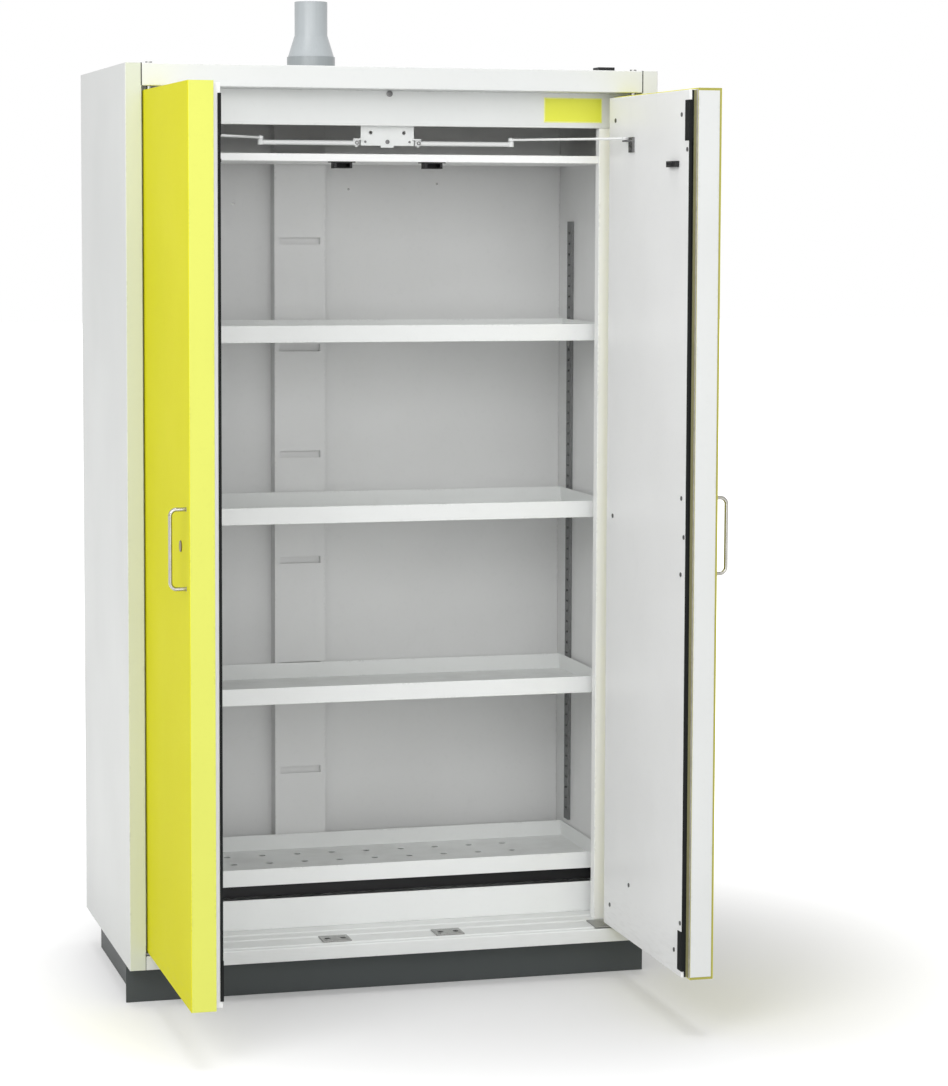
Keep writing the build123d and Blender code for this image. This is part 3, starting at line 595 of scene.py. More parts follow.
def fire_board(name, colour):
    """Rough mineral board."""
    material, tree, shader, place = start_material(name)
    coarse = noise(tree, place, 60.0, 6.0, 0.7)
    fine = noise(tree, place, 900.0, 3.0)
    face = blend_colour(tree, spread(tree, coarse, 0.3, 0.7), rgba(colour), rgba(colour, 0.72))
    feed(tree, shader["Base Color"], face)
    shader["Roughness"].default_value = 0.9
    bump(tree, shader, plus(tree, coarse, fine), 0.4, 0.001)
    return material


def steel(name, colour, stretch=ALL_WAYS, gloss=0.30):
    """Drawn or brushed metal."""
    material, tree, shader, place = start_material(name)
    lines = shared_group(tree, "Brush lines", Place=place, Stretch=stretch, Gloss=gloss)
    face = blend_colour(tree, lines["Tone"], rgba(colour, 0.86), rgba(colour, 1.08))
    feed(tree, shader["Base Color"], face)
    feed(tree, shader["Roughness"], lines["Roughness"])
    shader["Metallic"].default_value = 1.0
    bump(tree, shader, lines["Height"], 0.05, 0.0003)
    return material


def moulded(name, colour, box, gloss=0.52, grain=1500.0, shine=0.3):
    """Moulded plastic or rubber with a fine eroded grain."""
    material, tree, shader, place = start_material(name)
    shader["Specular IOR Level"].default_value = shine
    grained = grained_coat(tree, place, colour, 0.72, 0.6, gloss, grain)
    rubbed = rubbed_edges(tree, place, box, 0.003)
    feed(tree, shader["Base Color"], fade_to(tree, rubbed, 0.5, grained["Colour"], rgba(colour, 2.6)))
    feed(tree, shader["Roughness"], grained["Roughness"])
    bump(tree, shader, grained["Height"], 0.16, 0.0004)
    return material


def pipe_plastic(name, colour, box):
    """Extruded pipe plastic with faint lines along the pipe."""
    material, tree, shader, place = start_material(name)
    grained = grained_coat(tree, place, colour, 0.90, 0.5, 0.34, 700.0)
    drawn = noise(tree, stretched(tree, place, (420.0, 420.0, 6.0)), 1.0, 2.0)
    face = fade_to(tree, spread(tree, drawn, 0.42, 0.66), 0.16, grained["Colour"], rgba(colour, 0.82))
    rubbed = rubbed_edges(tree, place, box, 0.004)
    feed(tree, shader["Base Color"], fade_to(tree, rubbed, 0.3, face, rgba(colour, 0.7)))
    feed(tree, shader["Roughness"], grained["Roughness"])
    bump(tree, shader, plus(tree, grained["Height"], drawn), 0.06, 0.0004)
    return material


def finish_for(slot, name, box, colours):
    """The material of one piece, with the effects set to its own box."""
    makers = {
        "white_paint": lambda: coat(name, colours.white_coat, box, dust=0.05, level=0.08),
        "rear_paint": lambda: coat(name, colours.rear_coat, box, tone=0.5, gloss=0.5, dust=0.2, level=0.08),
        "yellow_paint": lambda: coat(
            name, colours.yellow_coat, box, gloss=0.48, grain=460.0, rub=0.25, dust=0.06, level=0.11,
            shine=0.02,
        ),
        "plinth_paint": lambda: coat(name, colours.plinth_coat, box, tone=0.25, gloss=0.50, grain=620.0),
        "insulation": lambda: fire_board(name, colours.fire_board),
        "grey_laminate": lambda: board(name, colours.grey_board, box, dust=0.15, level=0.12),
        "white_laminate": lambda: board(name, colours.white_board, box, gloss=0.40, dust=0.12, level=0.12),
        "tray_paint": lambda: coat(
            name, colours.tray_coat, box, gloss=0.38, grain=560.0, dust=0.22, level=0.11, fade=0.02
        ),
        "duct_paint": lambda: coat(name, colours.grey_board, box),
        "satin_steel": lambda: steel(name, colours.satin_steel, ALONG_Z),
        "closer_steel": lambda: steel(name, colours.zinc_steel, gloss=0.38),
        "bush_bronze": lambda: steel(name, colours.bronze, gloss=0.45),
        "seal_black": lambda: moulded(name, colours.seal, box, gloss=0.70, grain=1100.0, shine=0.12),
        "black_plastic": lambda: moulded(name, colours.black_plastic, box),
        "pipe_grey": lambda: pipe_plastic(name, colours.pipe, box),
    }
    return makers[slot]()


# Modelling by hand

def clear_selection():
    bpy.ops.object.select_all(action="DESELECT")


def hold(piece):
    """Makes one piece the only selected and active one."""
    clear_selection()
    piece.select_set(True)
    bpy.context.view_layer.objects.active = piece


def enter_edit():
    bpy.ops.object.mode_set(mode="EDIT")


def leave_edit():
    bpy.ops.object.mode_set(mode="OBJECT")


def settle(piece):
    """Puts the place of a piece into its mesh."""
    hold(piece)
    bpy.ops.object.transform_apply(location=True, rotation=True, scale=True)


def named(piece, name):
    piece.name = name
    piece.data.name = name
    return piece


def start_block(name, low, high):
    clear_selection()
    low, high = Vector(low), Vector(high)
    bpy.ops.mesh.primitive_cube_add(size=1.0, location=(low + high) / 2)
    piece = named(bpy.context.object, name)
    piece.scale = high - low
    settle(piece)
    return piece


def start_round(name, centre, direction, radius, length, sides=ROUND_SIDES):
    """A round bar that starts at a point and runs along a direction."""
    clear_selection()
    direction = Vector(direction).normalized()
    bpy.ops.mesh.primitive_cylinder_add(
        vertices=sides, radius=radius, depth=length, location=Vector(centre) + direction * (length / 2),
        rotation=direction.to_track_quat("Z", "Y").to_euler(),
    )
    piece = named(bpy.context.object, name)
    settle(piece)
    return piece


def pick_faces(piece, direction):
    """Enters edit mode with the faces selected that look squarely along a direction."""
    direction = Vector(direction)
    hold(piece)
    enter_edit()
    bpy.ops.mesh.select_mode(type="FACE")
    bpy.ops.mesh.select_all(action="DESELECT")
    leave_edit()
    for face in piece.data.polygons:
        face.select = face.normal.dot(direction) > SQUARE_ON
    enter_edit()


def soften(piece, width, least=0.0, segments=2, test=None):
    """Rounds the sharp edges that are long enough and pass a test on their middle."""
    hold(piece)
    enter_edit()
    bpy.ops.mesh.select_mode(type="EDGE")
    bpy.ops.mesh.select_all(action="DESELECT")
    bpy.ops.mesh.edges_select_sharp(sharpness=SHARP_ANGLE)
    leave_edit()
    points = piece.data.vertices
    for edge in piece.data.edges:
        first, second = (points[index].co for index in edge.vertices)
        if (first - second).length < least or (test and not test((first + second) / 2)):
            edge.select = False
    enter_edit()
    bpy.ops.mesh.bevel(offset=width, segments=segments, profile=0.5, affect="EDGES", clamp_overlap=True)
    leave_edit()


def node_copy(node):
    """A merged copy of a CAD node, ready to be worked on."""
    hold(frame["nodes"][node])
    bpy.ops.object.duplicate()
    copy = named(bpy.context.object, node + "_dressed")
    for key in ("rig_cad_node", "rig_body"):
        del copy[key]
    bpy.ops.mesh.customdata_custom_splitnormals_clear()
    enter_edit()
    bpy.ops.mesh.select_all(action="SELECT")
    bpy.ops.mesh.remove_doubles(threshold=MERGE)
    bpy.ops.mesh.dissolve_limited(angle_limit=FLAT_ANGLE)
    leave_edit()
    return copy


def piece_box(piece):
    points = [vertex.co for vertex in piece.data.vertices]
    low = tuple(min(point[axis] for point in points) for axis in range(3))
    high = tuple(max(point[axis] for point in points) for axis in range(3))
    return low, high


def give_material(piece, material):
    piece.data.materials.clear()
    piece.data.materials.append(material)


def even_shading(piece):
    """Smooth rounds beside faces that stay flat."""
    hold(piece)
    bpy.ops.object.shade_smooth_by_angle(angle=SMOOTH_ANGLE)
    change = piece.modifiers.new("Flat faces", "WEIGHTED_NORMAL")
    change.keep_sharp = True
    bpy.ops.object.modifier_apply(modifier=change.name)


def dress(piece, body, slot, *nodes, material=None):
    """Finishes a piece: shading, material, the body it rides on and the nodes it stands for."""
    even_shading(piece)
    colours = bpy.context.scene.cabinet_colours
    give_material(piece, material or finish_for(slot, piece.name + "_finish", piece_box(piece), colours))
    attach(piece, body)
    if nodes:
        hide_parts(*nodes)
    return piece


def join(name, pieces):
    clear_selection()
    for piece in pieces:
        piece.select_set(True)
    bpy.context.view_layer.objects.active = pieces[0]
    bpy.ops.object.join()
    return named(bpy.context.object, name)


SLOT_OF = {item["node"]: item["material_slot"] for item in frame["record"]["subparts"]}
BODY_OF = {node: body for body, nodes in frame["record"]["behaviour"]["bodies"].items() for node in nodes}


def dress_node(piece, node, material=None):
    """Finishes a piece that stands for one CAD node."""
    return dress(piece, BODY_OF[node], SLOT_OF[node], node, material=material)


def dress_copy(node, width, least=0.0, segments=2):
    """A CAD node with its edges rounded and its own finish."""
    copy = node_copy(node)
    soften(copy, width, least, segments)
    return dress_node(copy, node)


def blackened(name, gloss):
    return steel(name + "_blackened", bpy.context.scene.cabinet_colours.dark_steel, gloss=gloss)


def cut(piece, tool):
    """Takes one piece out of another and removes the tool."""
    hold(piece)
    change = piece.modifiers.new("Cut", "BOOLEAN")
    change.operation = "DIFFERENCE"
    change.solver = "EXACT"
    change.use_self = True
    change.object = tool
    bpy.ops.object.modifier_apply(modifier=change.name)
    hold(tool)
    bpy.ops.object.delete()


def screw_head(name, centre, direction, head, recess):
    """A domed head with a cross drive."""
    radius, height = head
    piece = start_round(name, centre, direction, radius, height, SCREW_SIDES)
    outward = Vector(direction).normalized()
    dome = height * SCREW_DOME
    pick_faces(piece, outward)
    bpy.ops.mesh.inset(thickness=radius * SCREW_SHOULDER, depth=dome)
    bpy.ops.mesh.inset(thickness=radius * SCREW_FLAT, depth=0.0)
    leave_edit()
    across = outward.orthogonal().normalized()
    other = outward.cross(across)
    middle = Matrix.Translation(Vector(centre) + outward * height + outward * dome)
    size = Matrix.Diagonal((radius * CROSS_LENGTH, radius * CROSS_WIDTH, recess * 2, 1.0))
    cutters = []
    for first, second in ((across, other), (other, across)):
        turn = Matrix((first, second, outward)).transposed().to_4x4()
        clear_selection()
        bpy.ops.mesh.primitive_cube_add(size=1.0)
        cutter = bpy.context.object
        cutter.matrix_world = middle @ turn @ size
        settle(cutter)
        cutters.append(cutter)
    cross = join(name + "_drive", cutters)
    hold(cross)
    enter_edit()
    bpy.ops.mesh.select_all(action="SELECT")
    bpy.ops.mesh.intersect_boolean(operation="UNION", solver="EXACT", use_self=True)
    leave_edit()
    cut(piece, cross)
    return piece


def socket_screw(name, centre, direction, head):
    """A cap screw with a six-sided socket."""
    radius, height = head
    piece = start_round(name, centre, direction, radius, height)
    bottom = Vector(centre) + Vector(direction).normalized() * height * SOCKET_FLOOR
    cut(piece, start_round(name + "_socket", bottom, direction, radius * SOCKET_WIDTH, height, SOCKET_SIDES))
    soften(piece, radius * SOCKET_EASE)
    return piece


def pin_head(name, centre, head):
    """A low riveted dome."""
    radius, height = head
    piece = start_round(name, centre, UP, radius, height * PIN_BODY, PIN_SIDES)
    pick_faces(piece, UP)
    for inward, rise in (PIN_SHOULDER, PIN_DOME):
        bpy.ops.mesh.inset(thickness=radius * inward, depth=height * rise)
    leave_edit()
    return piece


def copies_at(model, places):
    """Copies of a model moved by each offset, each with its own mesh."""
    made = []
    for offset in places:
        hold(model)
        bpy.ops.object.duplicate()
        copy = bpy.context.object
        copy.location = offset
        settle(copy)
        made.append(copy)
    hold(model)
    bpy.ops.object.delete()
    return made


def spread_screws(name, places, direction, head, recess):
    """One screw head copied to every place and joined into one piece."""
    model = screw_head(name, (0.0, 0.0, 0.0), direction, head, recess)
    return join(name, copies_at(model, places))


def carcass_screws(name, places, direction, head, recess, slot="satin_steel"):
    """Screws of the casing as one finished piece."""
    dress(spread_screws(name, places, direction, head, recess), "carcass", slot)


def folded_tray(name, low, high, wall):
    """A sheet tray: a block with its top let in, so the lip stands round the floor."""
    tray = start_block(name, low, high)
    pick_faces(tray, UP)
    bpy.ops.mesh.inset(thickness=wall, depth=0.0)
    bpy.ops.mesh.extrude_region_move(TRANSFORM_OT_translate={"value": (0.0, 0.0, low[2] + wall - high[2])})
    leave_edit()
    return tray


def round_folds(tray, low, high, fold, rim):
    """Rounds the folds of a tray's bottom and corners, then eases its rim."""
    def on_fold(middle):
        ends = (middle.x - low[0], high[0] - middle.x, middle.y - low[1], high[1] - middle.y)
        return sum(away < MERGE for away in (*ends, middle.z - low[2])) >= 2

    soften(tray, fold, LONG_EDGE, 3, on_fold)
    soften(tray, rim, LONG_EDGE)


def paint_front_light_and_shade(node, colour):
    """Gives the front edge of a dressed sheet a colour of its own: a painted highlight or painted shade on
    that edge.
    """
    piece = bpy.data.objects[node + "_dressed"]
    box = piece_box(piece)
    piece.data.materials.append(coat(node + "_front_painted_light", colour, box, gloss=0.48))
    for face in piece.data.polygons:
        face.material_index = int(face.normal.y < -SQUARE_ON and face.center.y < box[0][1] + MM)


# Pieces

class CABINET_OT_plain_nodes(bpy.types.Operator):
    """Gives every CAD node its finish"""

    bl_idname = "cabinet.plain_nodes"
    bl_label = "Plain nodes"

    def execute(self, context):
        colours = context.scene.cabinet_colours
        for node, piece in frame["nodes"].items():
            box = tuple(tuple(corner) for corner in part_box(node))
            give_material(piece, finish_for(SLOT_OF[node], node + "_finish", box, colours))
        return {"FINISHED"}


class CABINET_OT_boards(bpy.types.Operator):
    """Boards of the door frame, the inside and the doors with eased edges"""

    bl_idname = "cabinet.boards"
    bl_label = "Boards"

    def execute(self, context):
        edge = context.scene.cabinet_sizes.board_edge
        for node in SOFT_BOARDS:
            dress_copy(node, edge, LONG_EDGE)
        for node in JAMBS:
            jamb = node_copy(node)
            soften(jamb, edge, LONG_EDGE)
            # The jambs get the brighter colour as painted light, in place of the front light that the right
            # door blocks.
            bright = coat(node + "_coat", context.scene.cabinet_colours.jamb_painted_light, piece_box(jamb))
            dress_node(jamb, node, bright)
        return {"FINISHED"}


class CABINET_OT_sheets(bpy.types.Operator):
    """Folded sheets of the casing, doors, sill and plinth"""

    bl_idname = "cabinet.sheets"
    bl_label = "Sheets"

    def execute(self, context):
        for node in SOFT_SHEETS:
            dress_copy(node, context.scene.cabinet_sizes.small_edge, LONG_EDGE)
        colours = context.scene.cabinet_colours
        # Painted highlight on the left door's front edge, painted shade on the right door's edge, and painted
        # shade and bounce on the left return.
        paint_front_light_and_shade("left_door_shell", colours.end_painted_highlight)
        paint_front_light_and_shade("right_door_shell", colours.edge_painted_shade)
        paint_front_light_and_shade("left_side_panel", colours.return_painted_shade_and_bounce)
        return {"FINISHED"}


class CABINET_OT_trays(bpy.types.Operator):
    """Tray shelves and the sump with folded corners and thin rims"""

    bl_idname = "cabinet.trays"
    bl_label = "Trays"

    def execute(self, context):
        sizes = context.scene.cabinet_sizes
        for node, wall in TRAY_WALLS.items():
            low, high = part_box(node)
            tray = folded_tray(node + "_dressed", low, high, wall)
            round_folds(tray, low, high, sizes.fold, sizes.small_edge / 2)
            dress_node(tray, node)
        return {"FINISHED"}


class CABINET_OT_insert(bpy.types.Operator):
    """Perforated insert with the two legs that stand on the sump"""

    bl_idname = "cabinet.insert"
    bl_label = "Bottom insert"

    def execute(self, context):
        edge = context.scene.cabinet_sizes.small_edge
        low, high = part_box("bottom_insert")
        floor_low = Vector((low.x, low.y, high.z - TRAY_LIP))
        tray = folded_tray("bottom_insert_dressed", floor_low, high, SHEET)
        drill_foot = (0.0, 0.0, floor_low.z - SHEET)
        drill = start_round("insert_drill", drill_foot, UP, HOLE_RADIUS, 3 * SHEET, HOLE_SIDES)
        columns = int((high.x - low.x - 2 * HOLE_PITCH) / HOLE_PITCH)
        rows = int((high.y - low.y) / HOLE_PITCH)
        middle = (low + high) / 2
        across = [middle.x + (column - (columns - 1) / 2) * HOLE_PITCH for column in range(columns)]
        back = [middle.y + (row - (rows - 1) / 2) * HOLE_PITCH for row in range(rows)]
        cut(tray, join("insert_drills", copies_at(drill, [(x, y, 0.0) for x in across for y in back])))
        round_folds(tray, floor_low, high, edge, edge / 2)
        legs = []
        for x in (low.x, high.x - SHEET):
            leg = start_block("insert_leg", (x, low.y, low.z), (x + SHEET, high.y, floor_low.z))
            soften(leg, edge / 2, LONG_EDGE)
            legs.append(leg)
        dress_node(join("bottom_insert_dressed", [tray, *legs]), "bottom_insert")
        return {"FINISHED"}


class CABINET_OT_fittings(bpy.types.Operator):
    """Catches, clips, plates, seals and the closer housing with eased edges"""

    bl_idname = "cabinet.fittings"
    bl_label = "Fittings"

    def execute(self, context):
        for node in SOFT_FITTINGS:
            dress_copy(node, context.scene.cabinet_sizes.small_edge, SHORT_EDGE)
        return {"FINISHED"}


class CABINET_OT_door_screws(bpy.types.Operator):
    """Blackened screws of the inner door panels"""

    bl_idname = "cabinet.door_screws"
    bl_label = "Door screws"

    def execute(self, context):
        recess = context.scene.cabinet_sizes.screw_recess
        for side, sign in SIDES:
            node = side + "_door_screws"
            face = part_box(side + "_door_inner_panel")[1 if sign < 0 else 0].x
            places = [(face, (DOOR_PIVOT_Y - u) * MM, z * MM) for u, z in DOOR_SCREWS]
            heads = spread_screws(node + "_dressed", places, (-sign, 0.0, 0.0), DOOR_HEAD, recess)
            dress_node(heads, node, blackened(node, 0.36))
        return {"FINISHED"}


class CABINET_OT_header_screws(bpy.types.Operator):
    """Dome screw of the header and the screws of the closer plate"""

    bl_idname = "cabinet.header_screws"
    bl_label = "Header screws"

    def execute(self, context):
        recess = context.scene.cabinet_sizes.screw_recess
        dome = screw_head("header_dome", DOME_PLACE, FORWARD, DOME_HEAD, recess)
        tab = screw_head("header_tab", TAB_PLACE, FORWARD, TAB_HEAD, recess)
        pins = spread_screws("header_pins", PIN_PLACES, FORWARD, PIN_HEAD, recess / 2)
        heads = join("header_screws_dressed", [dome, tab, pins])
        dress_node(heads, "header_screws", blackened("header_screws", 0.46))
        return {"FINISHED"}


class CABINET_OT_closers(bpy.types.Operator):
    """Closer arms and rods in silver coat with their screws and pins, and the brackets on the doors"""

    bl_idname = "cabinet.closers"
    bl_label = "Closers"

    def execute(self, context):
        sizes = context.scene.cabinet_sizes
        colours = context.scene.cabinet_colours
        for side, sign in SIDES:
            for part in ("arm", "rod"):
                node = f"{side}_closer_{part}"
                copy = node_copy(node)
                soften(copy, sizes.small_edge, FINE_EDGE)
                box = piece_box(copy)
                silver = coat(node + "_silver", colours.closer_coat, box, gloss=0.36, grain=900.0, peel=0.05)
                dress_node(copy, node, silver)
            eye_place = mm(sign * EYE_PLACE[0], *EYE_PLACE[1:])
            eye = socket_screw(f"{side}_arm_screw", eye_place, FORWARD, EYE_HEAD)
            dress(eye, f"{side}_arm", "satin_steel", material=blackened(f"{side}_arm_screw", 0.40))
            elbow_place = mm(sign * ELBOW_PLACE[0], *ELBOW_PLACE[1:])
            elbow = pin_head(f"{side}_elbow_pin", elbow_place, ELBOW_HEAD)
            dress(elbow, f"{side}_rod", "satin_steel")
            self.bracket(side, sign, sizes)
        return {"FINISHED"}

    def bracket(self, side, sign, sizes):
        """Angle bracket with rounded lower corners and its two screws."""
        node = f"{side}_closer_bracket"
        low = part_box(node)[0]
        bracket = node_copy(node)

        def on_corner(middle):
            from_end = min(abs(middle.y - end) for end in (low.y, low.y + BRACKET_WIDTH))
            return middle.z < low.z + MM and from_end < MERGE

        soften(bracket, BRACKET_CORNER, 0.0, 5, on_corner)
        soften(bracket, sizes.small_edge, FINE_EDGE)
        dress(bracket, f"{side}_door", "closer_steel", node, material=blackened(f"{side}_bracket", 0.46))
        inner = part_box(f"{side}_door_inner_panel")[1 if sign < 0 else 0].x
        plate = inner - sign * BRACKET_THICK
        places = [(plate, low.y + along * MM, low.z + rise * MM) for along, rise in BRACKET_SCREWS]
        name = f"{side}_bracket_screws"
        heads = spread_screws(name, places, (-sign, 0.0, 0.0), BRACKET_HEAD, sizes.screw_recess)
        dress(heads, f"{side}_door", "satin_steel")


class CABINET_OT_lock(bpy.types.Operator):
    """Lock cylinder with an eased rim and a browned face"""

    bl_idname = "cabinet.lock"
    bl_label = "Lock"

    def execute(self, context):
        cylinder = node_copy("lock_cylinder")
        soften(cylinder, context.scene.cabinet_sizes.small_edge, LOCK_EDGE)
        browned = steel("lock_cylinder_browned", context.scene.cabinet_colours.lock_face, gloss=0.40)
        dress_node(cylinder, "lock_cylinder", browned)
        return {"FINISHED"}


class CABINET_OT_door_lip(bpy.types.Operator):
    """Black seal lip, and a yellow lip painted olive as painted shade, between the seal and the white meeting
    edge of the right door
    """

    bl_idname = "cabinet.door_lip"
    bl_label = "Door lip"

    def execute(self, context):
        panel_low, panel_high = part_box("right_door_inner_panel")
        seal_inner = panel_low.x + SEAL_DEPTH
        shaded_lip_inner = seal_inner + SEAL_LIP
        low = (shaded_lip_inner, panel_low.y - LIP_PROUD, panel_low.z + MM)
        high = (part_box("right_door_shell")[0].x, panel_low.y, panel_high.z - MM)
        seal_lip = start_block("right_door_seal_lip", (seal_inner, *low[1:]), (shaded_lip_inner, *high[1:]))
        soften(seal_lip, LIP_GROOVE, LONG_EDGE)
        dress(seal_lip, "right_door", "seal_black")
        lip = start_block("right_door_lip", low, high)
        pick_faces(lip, FORWARD)
        bpy.ops.mesh.inset(thickness=LIP_RIM, depth=0.0)
        bpy.ops.mesh.inset(thickness=LIP_GROOVE, depth=-LIP_GROOVE)
        leave_edit()
        # The olive is painted shade: the lip is yellow paint lying in the groove's shadow.
        colour = context.scene.cabinet_colours.lip_painted_shade
        lip_shade_paint = coat("right_door_lip_painted_shade", colour, piece_box(lip), gloss=0.5)
        dress(lip, "right_door", "yellow_paint", material=lip_shade_paint)
        return {"FINISHED"}


class CABINET_OT_handles(bpy.types.Operator):
    """Handle bows with a small washer under each foot"""

    bl_idname = "cabinet.handles"
    bl_label = "Handles"

    def execute(self, context):
        for side, sign in SIDES:
            node = side + "_handle"
            bow = node_copy(node)
            bright = steel(node + "_bright", context.scene.cabinet_colours.handle_steel, ALONG_Z, 0.26)
            dress_node(bow, node, bright)
            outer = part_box(side + "_door_shell")[0 if sign < 0 else 1].x
            washers = []
            for z in HANDLE_FEET:
                foot = (outer, HANDLE_Y, z * MM)
                washer = start_round("handle_washer", foot, (sign, 0.0, 0.0), WASHER_RADIUS, WASHER_HEIGHT)
                soften(washer, WASHER_EASE, test=lambda middle: abs(middle.x) > abs(outer) + WASHER_EASE)
                washers.append(washer)
            dress(join(side + "_handle_washers", washers), side + "_door", "satin_steel")
        return {"FINISHED"}


class CABINET_OT_blank_plate(bpy.types.Operator):
    """Blank yellow plate with a pale raised border"""

    bl_idname = "cabinet.blank_plate"
    bl_label = "Blank plate"

    def execute(self, context):
        colours = context.scene.cabinet_colours
        low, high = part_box("header_plate")
        middle = (low + high) / 2
        plate = start_block("header_plate_dressed", low, high)
        soften(plate, PLATE_CORNER, 0.0, 3, lambda point: abs(point.y - middle.y) < MERGE)
        pick_faces(plate, FORWARD)
        bpy.ops.mesh.inset(thickness=PLATE_BORDER, depth=0.0)
        bpy.ops.mesh.inset(thickness=PLATE_STEP, depth=-PLATE_SINK)
        leave_edit()
        look = {"box": piece_box(plate), "gloss": 0.34, "grain": 1200.0, "peel": 0.03}
        dress_node(plate, "header_plate", coat("header_plate_film", colours.plate_film, rub=0.0, **look))
        plate.data.materials.append(coat("header_plate_border", colours.plate_border, rub=0.3, **look))
        for face in plate.data.polygons:
            away = face.center - middle
            face.material_index = 0 if abs(away.x) < MM and abs(away.z) < MM else 1
        return {"FINISHED"}


class CABINET_OT_roof_trim(bpy.types.Operator):
    """Gaskets between roof and sides, the ramp beside the air cap and the roof screws"""

    bl_idname = "cabinet.roof_trim"
    bl_label = "Roof trim"

    def execute(self, context):
        sizes = context.scene.cabinet_sizes
        low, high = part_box("roof_panel")
        half = sizes.seam / 2
        strips = []
        for x in (low.x, high.x):
            strip_low = (x - half, low.y - GASKET_PROUD, GASKET_BOTTOM)
            strip = start_block("roof_gasket", strip_low, (x + half, high.y, high.z + GASKET_PROUD))
            hollow_low = (x - GASKET_REACH, low.y + MM, GASKET_HOLLOW)
            hollow_high = (x + GASKET_REACH, GASKET_END, high.z - MM)
            cut(strip, start_block("roof_gasket_inside", hollow_low, hollow_high))
            soften(strip, GASKET_EASE, LONG_EDGE)
            strips.append(strip)
        dress(join("roof_gaskets", strips), "carcass", "seal_black")
        self.ramp(high.z)
        places = [(x * MM, y * MM, high.z) for x, y in ROOF_SCREWS]
        carcass_screws("roof_screws", places, UP, ROOF_HEAD, sizes.screw_recess, "white_paint")
        return {"FINISHED"}

    def ramp(self, roof):
        """Low ramp that rises to the air cap."""
        cap_low, cap_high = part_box("supply_air_cap")
        low = Vector((cap_low.x - RAMP_LENGTH, cap_low.y + RAMP_SIDE, roof))
        high = Vector((cap_low.x - RAMP_GAP, cap_high.y - RAMP_SIDE, cap_high.z - RAMP_DROP))
        ramp = start_block("air_cap_ramp", low, high)
        hold(ramp)
        for vertex in ramp.data.vertices:
            vertex.select = vertex.co.x < low.x + MM and vertex.co.z > roof + MM
        enter_edit()
        bpy.ops.transform.translate(value=(0.0, 0.0, roof + RAMP_TOE - high.z))
        leave_edit()
        soften(ramp, TRIM_EASE)
        dress(ramp, "carcass", "pipe_grey")


class CABINET_OT_seams(bpy.types.Operator):
    """Thin joints between the casing's returns and the sill"""

    bl_idname = "cabinet.seams"
    bl_label = "Sill seams"

    def execute(self, context):
        low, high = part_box("sill_rail")
        half = context.scene.cabinet_sizes.seam / 4
        strips = []
        for x in (low.x, high.x):
            strip_low = (x - half, low.y - SEAM_PROUD, low.z)
            strip = start_block("sill_seam", strip_low, (x + half, low.y + MM, high.z))
            soften(strip, SEAM_EASE, LONG_EDGE)
            strips.append(strip)
        dress(join("sill_seams", strips), "carcass", "seal_black")
        return {"FINISHED"}


class CABINET_OT_rails(bpy.types.Operator):
    """Shelf rails in dark zinc"""

    bl_idname = "cabinet.rails"
    bl_label = "Shelf rails"

    def execute(self, context):
        zinc = steel("shelf_rails_zinc", context.scene.cabinet_colours.rail_zinc, gloss=0.5)
        dress_node(node_copy("shelf_rails"), "shelf_rails", zinc)
        return {"FINISHED"}


class CABINET_OT_rear_screws(bpy.types.Operator):
    """Screws round the rear sheet and the small ones of the rear liner"""

    bl_idname = "cabinet.rear_screws"
    bl_label = "Rear screws"

    def execute(self, context):
        recess = context.scene.cabinet_sizes.screw_recess
        low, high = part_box("rear_panel")
        column_pitch = (high.x - low.x - 2 * REAR_INSET) / (REAR_COLUMNS - 1)
        row_pitch = (high.z - low.z - 2 * REAR_INSET) / (REAR_ROWS - 1)
        columns = [low.x + REAR_INSET + step * column_pitch for step in range(REAR_COLUMNS)]
        rows = [low.z + REAR_INSET + step * row_pitch for step in range(REAR_ROWS)]
        places = [(x, high.y, z) for x in columns for z in (rows[0], rows[-1])]
        places += [(x, high.y, z) for x in (columns[0], columns[-1]) for z in rows[1:-1]]
        carcass_screws("rear_screws", places, BACKWARD, REAR_HEAD, recess)
        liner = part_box("rear_liner")[0].y
        places = [(x * MM, liner, z * MM) for x, z in LINER_SCREWS]
        carcass_screws("liner_screws", places, FORWARD, LINER_HEAD, recess / 2)
        return {"FINISHED"}


class CABINET_OT_exhaust(bpy.types.Operator):
    """Collar, reducer and gasket of the exhaust spigot"""

    bl_idname = "cabinet.exhaust"
    bl_label = "Exhaust spigot"

    def execute(self, context):
        collar = node_copy("exhaust_collar")
        soften(collar, COLLAR_EASE, 0.0, 3)
        ring = pipe_plastic("exhaust_collar_ring", context.scene.cabinet_colours.pipe_ring, piece_box(collar))
        dress_node(collar, "exhaust_collar", ring)
        dress_copy("exhaust_reducer", REDUCER_EASE, 0.0, 3)
        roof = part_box("roof_panel")[1].z
        gasket = start_round("collar_gasket", (*SPIGOT, roof), UP, COLLAR_RADIUS, COLLAR_HEIGHT, COLLAR_SIDES)
        bore_foot = (*SPIGOT, roof - BORE_DROP)
        cut(gasket, start_round("collar_bore", bore_foot, UP, BORE_RADIUS, BORE_HEIGHT, COLLAR_SIDES))
        soften(gasket, REDUCER_EASE)
        dress(gasket, "carcass", "seal_black")
        return {"FINISHED"}


